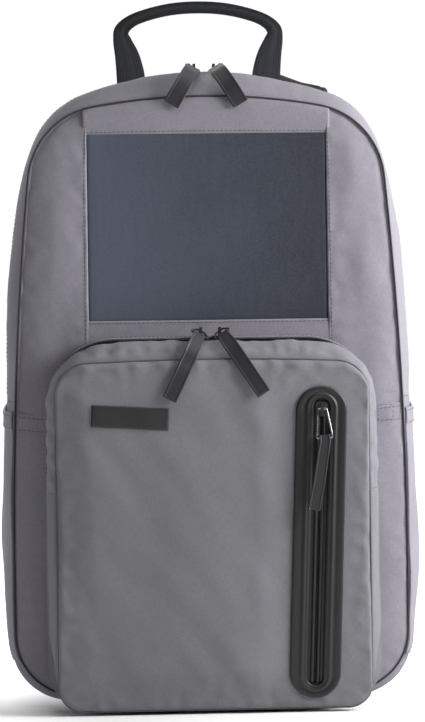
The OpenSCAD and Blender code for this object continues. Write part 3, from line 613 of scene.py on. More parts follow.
def pillow(grid, level, puff, reach, rolls, forward=-1, seed=3.0, folds=0.9 * mm, pucker=0.35 * mm):
    """Raises a panel off its plane. It rolls down at its edges (radius and depth for the top, bottom,
    first and last edge), is puffed between them, and has soft folds and puckers near its seams."""
    run_v = np.linalg.norm(np.diff(grid, axis=0), axis=2)
    run_u = np.linalg.norm(np.diff(grid, axis=1), axis=2)
    rows, cols = grid.shape[:2]
    v = np.concatenate([np.zeros((1, cols)), np.cumsum(run_v, 0)])
    u = np.concatenate([np.zeros((rows, 1)), np.cumsum(run_u, 1)], 1)
    edges = (v, v[-1] - v, u, u[:, -1:] - u)
    fall = np.zeros((rows, cols))
    for distance, (radius, depth) in zip(edges, rolls):
        t = 1 - np.clip(distance / radius, 0, 1)
        fall = np.maximum(fall, depth * (1 - np.sqrt(1 - t * t)))
    edge = np.minimum.reduce(edges)
    sewn = [distance for distance, (radius, _) in zip(edges, rolls) if radius > 1 * mm]
    dome = np.prod([ramp(distance, 0, reach) for distance in sewn], axis=0)
    calm = np.prod([ramp(distance, 2 * mm, 26 * mm) for distance in sewn], axis=0)
    height = level - fall + puff * dome + folds * ripple(grid, 0.045, seed) * calm
    height += pucker * ripple(grid, 0.009, seed + 5) * ramp(edge, 0, 3 * mm) * np.exp(-edge / 0.011)
    grid[..., 1] += forward * height
    return edge


# ---------------------------------------------------------------- front panels
# The front is six panels of padded polyester: two tall side panels, each with a lower panel sewn
# over it, a header over the solar laminate and a panel under it. The side panels are lapped over
# the middle ones and top-stitched. The film's box sets where the seams beside it run.
film_low, film_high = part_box("solar_film")
seam_x = film_high.x + 0.2 * mm
side_level = 3.1 * mm
inner_level = 2.4 * mm
deep = (5.5 * mm, 5.4 * mm)
shoulder = (26 * mm, 6.2 * mm)
folded = (1.3 * mm, 1.3 * mm)
lapped = (0.1 * mm, 0)   # an edge that runs on under its neighbour
panel_grids = {}
for side, word, hem in ((-1, "left", (211 * mm, 218 * mm)), (1, "right", (216 * mm, 222 * mm))):
    top_z = float(np.interp(seam_x, seam_line[:120, 0], seam_line[:120, 1])) - 0.1 * mm
    for part, high, low in (("upper", (top_z, top_z), (hem[0] - 12 * mm, hem[1] - 12 * mm)),
                            ("lower", hem, (8.1 * mm, 8.1 * mm))):
        edge_line = between(seam_line, high[1], low[1], 150)
        if part == "lower":
            edge_line = even(edge_line[edge_line[:, 0] >= seam_x], 150)
        seam = np.stack([np.full(150, seam_x), np.linspace(high[0], edge_line[-1, 1], 150)], 1)
        flat = spread(upright(seam, seam_y), upright(edge_line, seam_y), flat_rows(34)).transpose(1, 0, 2)
        top_roll = folded if part == "lower" else lapped
        pillow(flat, side_level + (0.9 * mm if part == "lower" else 0), 1.8 * mm, 45 * mm,
               (top_roll, lapped if part == "upper" else deep, folded, shoulder), seed=3.0 + side,
               folds=2.3 * mm, pucker=1.0 * mm)
        flat[..., 0] *= side
        if side < 0:
            flat = flat[:, ::-1]
        panel_grids[part, side] = flat
        piece = sheet_piece(f"side_panel_{part}_{word}", flat, body_cloth, 1.5 * mm, "bag")
        if part == "upper" and side < 0:
            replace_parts(piece, "front_side_panels")
        inner = 2.9 * mm * side
        if part == "upper":
            body_stitches.append(sew_col(flat, inner, 0.02, 0.99))
        else:
            body_stitches.append(sew_col(flat, inner, 0.03, 0.97))
            body_stitches.append(sew_row(flat, 3 * mm, 0.04, 0.96))
            body_stitches.append(sew_row(flat, 12 * mm, 0.04, 0.96))

xs = np.linspace(-seam_x - 3 * mm, seam_x + 3 * mm, 120)
header_top = np.stack([xs, np.interp(np.abs(xs), seam_line[:120, 0], seam_line[:120, 1])], 1)
header_low = np.stack([xs, np.full(120, film_high.z - 1.0 * mm)], 1)
header = spread(upright(header_top, seam_y), upright(header_low, seam_y), flat_rows(16, 0.2, 8))
pillow(header, inner_level, 0.8 * mm, 12 * mm, (deep, folded, lapped, lapped), seed=6)
piece = sheet_piece("header", header, body_cloth, 1.5 * mm, "bag")
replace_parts(piece, "front_header")
body_stitches.append(sew_row(header, -3.0 * mm, 0.02, 0.98))
sill_top = np.stack([xs, np.full(120, film_low.z + 1.0 * mm)], 1)
sill_low = np.stack([xs, np.full(120, 8.2 * mm)], 1)
sill = spread(upright(sill_top, seam_y), upright(sill_low, seam_y), flat_rows(60, 0.03, 8))
pillow(sill, inner_level, 0.5 * mm, 14 * mm, (folded, deep, lapped, lapped), seed=7)
piece = sheet_piece("centre_panel", sill, body_cloth, 1.5 * mm, "bag")
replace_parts(piece, "front_centre_panel")
body_stitches.append(sew_row(sill, 3.0 * mm, 0.02, 0.98))

# The small box of stitches over the hem on the right.
box_x, box_z, box_w, box_h = 0.130, 0.2145, 0.0055, 0.0055
corners = [(box_x + a * box_w, box_z + b * box_h) for a, b in ((-1, -1), (1, -1), (1, 1), (-1, 1), (-1, -1))]
patch_y = seam_y - side_level - 3.0 * mm
box_run = even(np.array([(x, patch_y, z) for x, z in corners]), 60)
body_stitches.append((box_run, np.tile([0.0, -1.0, 0.0], (60, 1))))

# ---------------------------------------------------------------- gussets
# The padded cloth round the depth of the bag: a front strip and a rear strip with the zip between
# them, and a lower gusset under the zip's ends. Rolled edges meet at the seams.
zip_low, zip_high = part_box("main_zip_coils")
zip_y = (zip_low.y + zip_high.y) / 2
reveal = 5.2 * mm
gusset_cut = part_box("gusset_front_strip")[0].z
rear_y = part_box("gusset_rear_strip")[1].y


def ring(line_a, line_b, rows, cut, upper, folds, seed, lip=4 * mm, count=236):
    """A band of cloth between two outlines, over the top or round the bottom, with its normals out.
    Each row is (y, share of line b, inset). A fold is (size, height)."""
    grid = []
    for y, share, inset in rows:
        halves = [between(line, line[0, 1] if upper else cut, cut if upper else line[-1, 1], count)
                  for line in (line_a, line_b)]
        half = halves[0] * (1 - share) + halves[1] * share
        step = np.gradient(half, axis=0)
        half = half + unit(np.stack([step[:, 1], -step[:, 0]], 1)) * inset
        half[0 if upper else -1, 0] = 0
        mirrored = half * (-1, 1)
        whole = [half[::-1], mirrored[1:]] if upper else [mirrored, half[-2::-1]]
        grid.append(upright(np.concatenate(whole), y))
    grid = np.array(grid)
    n = normals(grid)
    edge = np.minimum(grid[..., 1] - grid[..., 1].min(), grid[..., 1].max() - grid[..., 1])
    for size, height, near, gone in folds:
        weight = ramp(edge, near, near + lip) * (np.exp(-edge / gone) if gone else 1)
        grid = grid + n * (ripple(grid, size, seed) * height * weight)[..., None]
        seed += 1.7
    return grid


def bend(y, start, end):
    return math.sin(math.pi / 2 * min(1, max(0, (y - start) / (end - start))))


ridge_back = 22 * mm   # behind this depth the bag tapers to its back


def ridge_share(y):
    """How far the body's section at a depth is from its seam's outline to its ridge's, from 0 to 1."""
    if y < zip_y:
        return bend(y, seam_y, zip_y - 8 * mm)
    return 1 - max(0, (y - ridge_back) / (rear_y - ridge_back)) ** 2


front_end = zip_y - reveal / 2
rear_start = zip_y + reveal / 2
rolled_front = [(seam_y + 1.1 * mm, 0.0, 3.4 * mm), (seam_y + 0.2 * mm, 0.0, 1.9 * mm),
                (seam_y + 0.6 * mm, 0.0, 0.5 * mm)]
front_rows = [(y, ridge_share(y), 0.0) for y in np.linspace(seam_y + 1.6 * mm, front_end - 0.8 * mm, 14)]
rear_rows = [(y, ridge_share(y), 0.0) for y in np.linspace(rear_start + 0.8 * mm, rear_y - 1.6 * mm, 34)]
rolled_rear = [(rear_y - 0.5 * mm, 0.0, 0.5 * mm), (rear_y, 0.0, 1.9 * mm),
               (rear_y - 0.8 * mm, 0.0, 3.4 * mm)]
front_strip_rows = (rolled_front + front_rows
                    + [(front_end, 1.0, 0.5 * mm), (front_end - 0.2 * mm, 1.0, 1.9 * mm)])
rear_strip_rows = ([(rear_start + 0.2 * mm, 1.0, 1.9 * mm), (rear_start, 1.0, 0.5 * mm)]
                   + rear_rows + rolled_rear)
soft = [((0.05, 0.06, 0.05), 1.3 * mm, 2 * mm, 0), ((0.011, 0.03, 0.011), 0.7 * mm, 1 * mm, 0.012)]
front_strip = ring(seam_line, ridge_line, front_strip_rows, gusset_cut, True, soft, 1)
rear_strip = ring(back_line, ridge_line, rear_strip_rows, gusset_cut, True,
                  [((0.07, 0.09, 0.07), 2.6 * mm, 4 * mm, 0),
                   ((0.012, 0.04, 0.012), 0.8 * mm, 1 * mm, 0.014)], 2)
gap_rows = [(y, 1.0, 0.0) for y in (front_end, zip_y, rear_start)]
front_half = ring(seam_line, ridge_line, rolled_front + front_rows + gap_rows[:2], gusset_cut, False, [], 4)
rear_half = ring(back_line, ridge_line, gap_rows[2:] + rear_rows + rolled_rear, gusset_cut, False, [], 5)
lower = np.concatenate([front_half, rear_half])
lower = lower + normals(lower) * (ripple(lower, (0.06, 0.07, 0.06), 9) * 1.2 * mm
                                  * ramp(np.abs(lower[..., 1]), 0.061, 0.05))[..., None]
for name, grid, node in (("front_strip", front_strip, "gusset_front_strip"),
                         ("rear_strip", rear_strip, "gusset_rear_strip"),
                         ("lower_gusset", lower, "gusset_lower")):
    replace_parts(sheet_piece(name, grid, body_cloth, 1.4 * mm, "bag"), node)
body_stitches.append(sew_row(front_strip, -4.2 * mm, 0.01, 0.99))
body_stitches.append(sew_row(rear_strip, 4.2 * mm, 0.01, 0.99))


# ---------------------------------------------------------------- seam piping
# A thin cord covered in dark cloth, sewn into the front seam of the body, and a dark grey cord in the
# pocket's seam that is partly its dark edges and partly painted shade in the seam's crease.
def seam_cord(name, line, y, radius, inset, finish=piping_cloth):
    half = even(outline(*line, inset=inset), 260)
    ring_line = np.concatenate([half, (half * (-1, 1))[-2:0:-1]])
    return round_wire(name, upright(ring_line, y), radius, finish, "bag", up=(0, 1, 0))


pocket_seam_arcs = (0.256, 0.002, [(2.0, 2.6), (0.024, 89.8), (0, 90.2), (0.018, 180)])
pocket_rear_arcs = (0.272, 0.0015, [(20.0, 0.2), (0.052, 89.8), (0, 90.2), (0.030, 180)])
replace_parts(seam_cord("front_piping", seam_arcs, seam_y - 0.5 * mm, 0.75 * mm, 0.6 * mm), "seam_piping")

# ---------------------------------------------------------------- side pockets
# Sheets of the body cloth on both sides, from the front seam to the rear seam, with a wide hem at
# the mouth that lies on a level with the hems on the front.
pocket_y = np.linspace(seam_y + 1.2 * mm, rear_y - 1.2 * mm, 70)
share = np.array([ridge_share(y) for y in pocket_y])
for side, word in sides:
    levels = np.concatenate([np.linspace(0, 0.1, 12)[:-1], np.linspace(0.1, 1, 50)])
    t = np.linspace(0, 1, 70)
    z = (0.218 + 0.009 * t)[None] * (1 - levels[:, None]) + 0.034 * levels[:, None]
    base = np.where(pocket_y < zip_y, width_at(seam_line, z), width_at(back_line, z)) * (1 - share) \
        + width_at(ridge_line, z) * share
    belly = 4.6 * mm * np.sin(math.pi * (0.12 + levels[:, None] ** 1.5 * 0.88)) * np.sin(math.pi * t)[None]
    down = (z[0] - z)
    hem = 0.8 * mm * (1 - ramp(down, 11.5 * mm, 13 * mm)) - 1.2 * mm * (1 - ramp(down, 0, 1.2 * mm))
    wavy = stood(0.0, pocket_y, z)
    creases = ripple(wavy, 0.04, 4.0 + side) * 1.2 * mm * ramp(levels[:, None], 0, 0.2)
    x = base + 1.0 * mm + belly * (1.3 if side < 0 else 2.1) + hem + creases
    grid = stood(side * x, pocket_y, z)
    if side < 0:
        grid = grid[:, ::-1]
    piece = sheet_piece(f"side_pouch_{word}", grid, body_cloth, 1.2 * mm, "bag")
    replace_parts(piece, f"side_pocket_{word}")
    body_stitches.append(sew_row(grid, 12.2 * mm, 0.03, 0.97))
    body_stitches.append(sew_row(grid, 3 * mm, 0.03, 0.97))

# ---------------------------------------------------------------- zips
# Each zip is two woven tapes and two rows of nylon coil, seen in the gap between the cloth edges.
tape_finish = woven("zip_tape", (0.012, 0.012, 0.014), 0.5 * mm, roughness=0.75)
coil_finish = Finish("coil", (0.014, 0.014, 0.016), 0.38, specular=0.5)
coil_finish.grain(2500.0, 0.00004)


def zip_line(arcs, cut, inset):
    half = between(outline(*arcs, inset=inset), arcs[0] - inset, cut, 300)
    return np.concatenate([half[::-1], (half * (-1, 1))[1:]])


def zip_pieces(name, arcs, cut, y, node):
    for side, word in ((-1, "front"), (1, "rear")):
        near, far = y + side * 0.7 * mm, y + side * 7 * mm
        ys = sorted([near, far, (near + far) / 2])
        grid = np.array([upright(zip_line(arcs, cut, 3.2 * mm), at) for at in ys])
        piece = sheet_piece(f"{name}_tape_{word}", grid, tape_finish, 0.8 * mm, "bag")
        if side < 0:
            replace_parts(piece, node + "_tapes")
    runs = []
    for side in (-1, 1):
        path = upright(zip_line(arcs, cut, 2.2 * mm), y + side * 1.25 * mm)
        step = np.gradient(path, axis=0)
        runs.append((path, -unit(stood(step[:, 2], 0.0, -step[:, 0]))))
    coils = repeat_along(f"{name}_coils", runs, 1.25 * mm, (0.5 * mm, 1.25 * mm, 0.95 * mm), coil_finish,
                         "bag")
    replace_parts(coils, node + "_coils")


zip_pieces("main_zip", ridge_arcs, gusset_cut, zip_y, "main_zip")

# ---------------------------------------------------------------- front pocket
# The pocket stands 46 mm proud of the body. Its front is one soft panel in a greyer cloth of the
# same weave, gathered a little at the top seam; its gusset has a zip over the top.
pocket_cloth = woven("pocket_cloth", (0.176, 0.173, 0.190), 0.55 * mm, slub=0.14, mottle=0.14)
pocket_rear = outline(*pocket_rear_arcs)
pocket_seam = outline(*pocket_seam_arcs)
pocket_front_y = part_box("pocket_front_strip")[0].y
pocket_back_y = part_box("pocket_rear_strip")[1].y
pocket_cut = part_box("pocket_front_strip")[0].z
pocket_zip_y = (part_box("pocket_zip_coils")[0].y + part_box("pocket_zip_coils")[1].y) / 2
f_end, r_start = pocket_zip_y - reveal / 2, pocket_zip_y + reveal / 2
p_roll = [(pocket_front_y + 1.2 * mm, 0.0, 3.2 * mm), (pocket_front_y + 0.3 * mm, 0.0, 1.8 * mm),
          (pocket_front_y + 0.7 * mm, 0.0, 0.5 * mm)]
zip_share = 0.80
p_front = [(y, zip_share * bend(y, pocket_front_y, pocket_zip_y - 8 * mm), 0.0)
           for y in np.linspace(pocket_front_y + 1.6 * mm, f_end - 0.8 * mm, 16)]
p_rear = [(y, 1.0, 0.0) for y in np.linspace(r_start + 0.8 * mm, pocket_back_y, 12)]
gathers = [((0.04, 0.05, 0.04), 1.2 * mm, 2 * mm, 0), ((0.009, 0.035, 0.009), 2.2 * mm, 0.6 * mm, 0.009)]
p_front_strip = ring(pocket_seam, pocket_rear, p_roll + p_front
                     + [(f_end, zip_share, 0.5 * mm), (f_end - 0.2 * mm, zip_share, 1.7 * mm)],
                     pocket_cut, True, gathers, 11, lip=3 * mm)
p_rear_strip = ring(pocket_seam, pocket_rear,
                    [(r_start + 0.2 * mm, 1.0, 1.9 * mm), (r_start, 1.0, 0.2 * mm)] + p_rear,
                    pocket_cut, True, [((0.05, 0.05, 0.05), 0.8 * mm, 2 * mm, 0)], 12)
p_gap = [(y, 1.0, 0.0) for y in (f_end, pocket_zip_y, r_start)]
p_lower = ring(pocket_seam, pocket_rear, p_roll + p_front + p_gap + p_rear, pocket_cut, False,
               [((0.05, 0.05, 0.05), 1.0 * mm, 2 * mm, 0),
                ((0.009, 0.03, 0.009), 0.5 * mm, 1 * mm, 0.010)], 13)
for name, grid, node, cloth in (("pocket_front_band", p_front_strip, "pocket_front_strip", pocket_cloth),
                                ("pocket_rear_band", p_rear_strip, "pocket_rear_strip", body_cloth),
                                ("pocket_lower_band", p_lower, "pocket_lower_gusset", pocket_cloth)):
    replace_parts(sheet_piece(name, grid, cloth, 1.3 * mm, "bag"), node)
zip_pieces("pocket_zip", pocket_rear_arcs, pocket_cut, pocket_zip_y, "pocket_zip")
pocket_stitches.append(sew_row(p_front_strip, -4.2 * mm, 0.01, 0.99))
pocket_stitches.append(sew_row(p_rear_strip, 4.2 * mm, 0.01, 0.99))
# Dark grey cord: partly the seam's dark edges, partly painted shade in the seam's crease.
seam_cord("pocket_piping", pocket_seam_arcs, pocket_front_y - 0.3 * mm, 0.6 * mm, 0.5 * mm,
          pocket_cord_and_painted_shade)

welt_lean = math.radians(2.2)
welt_mid = np.array([0.075, 0.1225])


def welt_point(u, w):
    """A point of the welt zip's own plane, across and along, in x and z."""
    return (welt_mid[0] + u * math.cos(welt_lean) + w * math.sin(welt_lean),
            welt_mid[1] - u * math.sin(welt_lean) + w * math.cos(welt_lean))


def front_puff(x, z):
    """How far the pocket's front stands out at a point, in metres; it stays flat beside the welt zip."""
    free = 1 - ramp(x, 0.030, 0.056)
    domes = [np.cos(np.clip(t, -1, 1) * math.pi / 2) for t in ((x + 0.030) / 0.17, (z - 0.120) / 0.27)]
    dome = domes[0] * domes[1]
    slope = stood(x + 0.6 * z, 0.0, z - 0.5 * x)
    waves = ripple(stood(x, 0.0, z), 0.06, 21) * 1.9 * mm + ripple(slope, (0.022, 1, 0.07), 22) * 1.0 * mm
    return free * (3.6 * mm * dome + waves) + (1 - free) * waves * 0.25


def filled(line, y, rows, crowd=25 * mm, spare=0.4 * mm):
    """A grid whose upright columns fill an outline, closer together near its sides."""
    wide = line[:, 0].max() - spare
    half = np.concatenate([np.linspace(0, wide - crowd, 60)[:-1],
                           wide - crowd * (1 - np.sin(np.linspace(0, math.pi / 2, 26)))])
    xs = np.concatenate([-half[:0:-1], half])
    widest = int(np.argmax(line[:, 0]))
    top = np.interp(np.abs(xs), line[:widest + 1, 0], line[:widest + 1, 1])
    low = np.interp(-np.abs(xs), -line[widest:, 0], line[widest:, 1])
    return spread(upright(np.stack([xs, top], 1), y), upright(np.stack([xs, low], 1), y), rows)


face_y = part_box("pocket_front_panel")[0].y
front = filled(pocket_seam, face_y + 2.6 * mm, flat_rows(110, 0.03, 9))
edge = pillow(front, 2.6 * mm, 0.0, 20 * mm, ((6 * mm, 4.6 * mm),) * 4, seed=15, folds=0.0, pucker=1.9 * mm)
front[..., 1] -= front_puff(front[..., 0], front[..., 2]) * ramp(edge, 2 * mm, 30 * mm)
from_x, from_z = front[..., 0] - welt_mid[0], front[..., 2] - welt_mid[1]
slot_u = from_x * math.cos(welt_lean) - from_z * math.sin(welt_lean)
slot_w = from_x * math.sin(welt_lean) + from_z * math.cos(welt_lean)
away_w = np.maximum(np.abs(slot_w) - 0.094, 0)
sink = 1 - ramp(np.hypot(slot_u, away_w), 10 * mm, 13 * mm)
front[..., 1] += sink * 2.4 * mm
piece = sheet_piece("pocket_front", front, pocket_cloth, 1.2 * mm, "bag")
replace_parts(piece, "pocket_front_panel")

# ---------------------------------------------------------------- label
# A blank rubber label sewn to the pocket, slightly askew.
label_finish = Finish("label", (0.018, 0.018, 0.020), 0.55)
label_finish.grain(1800.0, 0.00005, detail=4)
label_w, label_h, label_turn = 28 * mm, 7.8 * mm, math.radians(-3.5)
u, w = np.meshgrid(np.concatenate([[-1], np.linspace(-0.985, 0.985, 40), [1]]),
                   np.concatenate([[1], np.linspace(0.95, -0.95, 12), [-1]]))
x = -0.0595 + u * label_w * math.cos(label_turn) + w * label_h * math.sin(-label_turn)
z = 0.214 + u * label_w * math.sin(label_turn) + w * label_h * math.cos(label_turn)
lift = 1.1 * mm - 0.5 * mm * ((np.abs(u) > 0.99) | (np.abs(w) > 0.99))
y = face_y - front_puff(x, z) * ramp(np.minimum(0.256 - z, 0.115 - np.abs(x)), 2 * mm, 30 * mm) - lift
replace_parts(sheet_piece("label", stood(x, y, z), label_finish, 0.9 * mm, "bag"),
            "label_patch")

# ---------------------------------------------------------------- welt zip
# A welded film patch with an embossed ridge round a coated zip, and a bright wire puller.
film = Finish("welt_film", (0.010, 0.010, 0.011), 0.46, specular=0.5)
film.grain(900.0, 0.00006, detail=3)


def stadium(half_width, half_length, count=240):
    """A stadium's outline, clockwise from its right side as seen from the front."""
    t = np.linspace(0, math.pi, count // 2)
    straight = half_length - half_width
    low = np.stack([half_width * np.cos(-t), -straight + half_width * np.sin(-t)], 1)
    return np.concatenate([low, -low])


inner, outer = stadium(6.2 * mm, 104 * mm), stadium(18 * mm, 112 * mm)
steps = np.concatenate([[0, 0.02, 0.05], np.linspace(0.1, 0.94, 30), [0.97, 1.0]])
rings = inner[None] * (1 - steps[:, None, None]) + outer[None] * steps[:, None, None]
off = steps * 11.8 * mm
emboss = 0.5 * mm * hump(off, 3.8 * mm, 0.9 * mm) - 0.35 * mm * hump(off, 6.4 * mm, 1.6 * mm)
emboss[:2] -= (1.5 * mm, 0.5 * mm)
emboss[-2:] -= (0.15 * mm, 0.55 * mm)
x, z = welt_point(rings[..., 0], rings[..., 1])
buckle = ripple(stood(x, 0.0, z), 0.03, 31) * 0.5 * mm
grid = stood(x, (face_y - 1.0 * mm - emboss)[:, None] - buckle, z)
patch = sheet_piece("welt_surround", grid, film, 0.7 * mm, "bag", closed=True)
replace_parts(patch, "welt_patch")
fine = []
for side in (-1, 1):
    w = np.linspace(-90 * mm, 90 * mm, 120)
    x, z = welt_point(np.full(120, side * 8.4 * mm), w)
    fine.append((stood(x, face_y - 1.55 * mm, z), np.tile([0.0, -1.0, 0.0], (120, 1))))
repeat_along("welt_stitches", fine, 2.4 * mm, (0.85 * mm, 0.22 * mm, 0.18 * mm), thread, "bag")
across = np.linspace(-10 * mm, 10 * mm, 60)
relief = 1.2 * mm * hump(np.abs(across), 2.1 * mm, 1.15 * mm, 4) - 0.9 * mm * hump(across, 0, 0.45 * mm)
w = np.linspace(102 * mm, -102 * mm, 90)
x, z = welt_point(across[None], w[:, None])
grid = stood(x, face_y + 0.9 * mm - relief, z)
coated = sheet_piece("welt_zip_tapes", grid, film, 0.7 * mm, "bag")
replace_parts(coated, "welt_zip")

# ---------------------------------------------------------------- solar laminate
# A flat laminate with a finely embossed face film and a plain margin, over cells and a backsheet.
solar = Finish("solar_face", (0.052, 0.060, 0.082), 0.46, specular=0.4)
where = solar.place()
grain = solar.noise(where, 1500.0, detail=4.0)
streak = solar.noise(where, 240.0, detail=2.0, stretch=(1, 1, 0.2))
cloud = solar.noise(where, 7.0, detail=2.0)
# Painted sheen: the face's colour is painted lighter towards the left, as if lit more there; it is mixed into
# the face's tone below.
painted_sheen_slope = solar.add("ShaderNodeSeparateXYZ", {}, [where]) * -5.0
shade = (grain - 0.5) * 0.9 + (streak - 0.5) * 0.2 + (cloud - 0.5) * 0.8 + painted_sheen_slope + 0.5
solar.set("Base Color", solar.tint(shade, 1.6, 0.35))
solar.bump(grain, 0.00008)
bevelled = 0.6 * mm
xs, zs = (np.concatenate([[start], np.linspace(start + step, end - step, count), [end]])
          for start, end, step, count in ((film_low.x, film_high.x, bevelled, 80),
                                          (film_high.z, film_low.z, -bevelled, 60)))
x, z = np.meshgrid(xs, zs)
rim = to_rim(x, z, (film_low.x, film_low.z), (film_high.x, film_high.z))
y = film_low.y + 0.35 * mm * (1 - ramp(rim, 0, 0.6 * mm)) - 0.12 * mm * ramp(rim, 3.6 * mm, 4.2 * mm)
y = y + ripple(stood(x, 0.0, z), 0.07, 41) * 0.25 * mm
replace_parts(sheet_piece("solar_face", stood(x, y, z), solar, 0.5 * mm, "bag"),
            "solar_film")

# ---------------------------------------------------------------- sliders, loops and tabs
# Cast sliders in black enamel, round wire loops, and black moulded tabs that drape forward.
enamel = Finish("black_metal", (0.022, 0.022, 0.025), 0.32, specular=0.6, coat=0.3)
enamel.grain(700.0, 0.00005)
gunmetal = Finish("gunmetal", (0.27, 0.27, 0.29), 0.28, metallic=1.0)
gunmetal.set("Roughness", gunmetal.speckle(900.0) * 0.2 + 0.16)
pull = Finish("pull", (0.020, 0.020, 0.023), 0.48)
pull.grain(1400.0, 0.00008, detail=4)


def paint(node, finish, bevel=0.0):
    """Gives a CAD node its finish, and softens its edges."""
    piece = frame["nodes"][node]
    piece.data.materials.clear()
    piece.data.materials.append(finish.material)
    if bevel:
        soft = piece.modifiers.new("bevel", "BEVEL")
        soft.width = bevel
        soft.segments = 2
        soft.limit_method = "ANGLE"
        soft.harden_normals = False
    return piece


def placed(point, matrix, vectors):
    return np.asarray(vectors) @ np.asarray(matrix).T + np.asarray(point)


def turned(lean, forward):
    """The matrix of a pull that leans sideways and lies forward, in degrees."""
    return np.array(Matrix.Rotation(math.radians(lean), 3, "Y")
                    @ Matrix.Rotation(math.radians(-forward), 3, "X"))


def joint_place(name):
    """Where a joint's axis is, from the record."""
    for joint in frame["joints"]:
        if joint["name"] == name:
            return np.array(joint["pos_m"])


def wire_loop(name, point, matrix, top, low, length, finish, radius=0.72 * mm):
    corners = [(-top, 0, 0), (top, 0, 0), (low, 0, -length + 3.6 * mm), (low, 0, -length), (-low, 0, -length),
               (-low, 0, -length + 3.6 * mm)]
    line = rounded_loop(placed(point, matrix, corners), 1.0 * mm)
    line = even(np.concatenate([line, line[:1]]), 90)[:-1]
    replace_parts(round_wire(name + "_wire", line, radius, finish, name), name)


def tab_section(depth, inner, outer):
    """A moulded tab's section: a rounded box with a raised rim, its faces sunk between the rims."""
    shape = rounded(0.25, 64)
    shape[:, 1] *= 1 - depth * (1 - ramp(np.abs(shape[:, 0]), inner, outer)) * (np.abs(shape[:, 1]) > 0.5)
    return shape


def pull_tab(name, point, matrix, path, width, thick=1.8 * mm):
    """A moulded tab along a side-view path of (out, up), with its top folded round the wire."""
    line = curve_points(np.array(path) * mm, 8)
    centres = placed(point, matrix, stood(0.0, -line[:, 0], line[:, 1]))
    x_axis = np.asarray(matrix)[:, 0]
    a = x_axis * width / 2 * np.interp(np.arange(len(centres)), [0, 12, 24], [0.84, 0.86, 1.0])[:, None]
    b = np.cross(headings(centres), x_axis) * thick / 2
    b *= np.interp(np.arange(len(centres)), [0, 6, 12, len(centres)], [1.5, 1.4, 1.0, 1.0])[:, None]
    section = tab_section(0.28, 0.70, 0.82)
    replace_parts(tube_piece(name + "_pull", centres, a, b, section, pull, name), name)


# How the tabs hang, as (out, up) from their eyes in millimetres.
main_drape = [(0, 0.6), (3, 0.2), (6, -1), (12, -3.5), (17.5, -8), (21, -14), (22.6, -21), (23, -28),
              (23, -34)]
pocket_drape = [(0, 0.4), (2.5, -0.8), (5, -3), (9.5, -7.5), (13.4, -14), (15.6, -22), (18.2, -32),
                (20.6, -52)]
for side, word in sides:
    for kind, lean, width, dip, drape in (("main", -side * 31, 12.2, 80, main_drape),
                                     ("pocket", 26 if side < 0 else -33, 10.4, 74, pocket_drape)):
        paint(f"{kind}_slider_{word}", enamel, 0.35 * mm)
        pivot = joint_place(f"{kind}_loop_{word}_swing")
        wire_loop(f"{kind}_loop_{word}", pivot, turned(lean, dip), 3.2 * mm, 6.2 * mm, 11 * mm, enamel)
        eye = placed(pivot, turned(lean, dip), (0, 0, -11 * mm))
        pull_tab(f"{kind}_tab_{word}", eye, turned(lean, 0), drape, width * mm)
paint("welt_slider", enamel, 0.35 * mm)
wire_loop("welt_loop", joint_place("welt_loop_swing"), turned(-4, 4), 3.2 * mm, 5.4 * mm, 21 * mm, gunmetal,
          0.85 * mm)
hook = joint_place("welt_tab_swing")
tab_line = curve_points([(0, 2.2), (0, -2), (-1.5, -9), (-6.5, -30), (-12.4, -51)], 10) * mm
matrix = turned(-4, 4)
centres = placed(hook, matrix, stood(tab_line[:, 0], 0.0, tab_line[:, 1]))
step = headings(tab_line)
across = stood(-step[:, 1], 0.0, step[:, 0]) @ matrix.T
out = np.tile(matrix @ np.array([0, -1.0, 0]), (len(step), 1))
thick = np.interp(tab_line[:, 1], [-0.05, -0.012, -0.007, 0.002], [1.1, 1.1, 2.0, 2.0])[:, None] * mm
wide_tab = np.interp(tab_line[:, 1], [-0.05, -0.009, 0.0], [4.5, 4.2, 4.0])[:, None] * mm
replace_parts(tube_piece("welt_tab_pull", centres, across * wide_tab, out * thick, tab_section(0.25, 0.66, 0.8),
                       pull, "welt_tab"), "welt_tab")

# ---------------------------------------------------------------- grab handle
# Ribbed webbing that stands on the rear seam, and is folded in half along its grip.
webbing = woven("webbing", (0.018, 0.019, 0.023), 1.1 * mm, roughness=0.62, relief=0.00025, slub=0.04)
handle_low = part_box("grab_handle")[0]
handle_y = (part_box("grab_handle")[0].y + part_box("grab_handle")[1].y) / 2
handle_base = 468.8 * mm
# [x, height over the base, half width, half thickness, lean in degrees]
half_handle = [(53, -1, 11.5, 0.9, 10.2), (54, 14, 11, 0.9, 6), (56.5, 28, 9.5, 1, 10), (60, 40, 7.2, 1.3, 6),
               (60, 48, 5.8, 1.8, -28), (52, 55, 4.9, 2.1, -62), (38, 60.2, 4.7, 2.1, -74),
               (20, 64, 4.7, 2.1, -83), (0, 65.2, 4.7, 2.1, -90)]
stations = np.array(half_handle)
mirrored = stations[-2::-1] * (-1, 1, 1, 1, -1)
mirrored[:, 4] = -180 - stations[-2::-1, 4]
stations = curve_points(np.concatenate([stations, mirrored]), 9)
centres = stood(stations[:, 0] * mm, handle_y, handle_base + stations[:, 1] * mm)
lean = np.radians(stations[:, 4])
a = stood(np.cos(lean), 0.0, -np.sin(lean)) * stations[:, 2:3] * mm
b = np.array([0.0, 1.0, 0.0]) * stations[:, 3:4] * mm
handle = tube_piece("handle_webbing", centres, a, b, rounded(0.4, 112, 12, 0.14), webbing, "handle")
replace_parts(handle, "grab_handle")

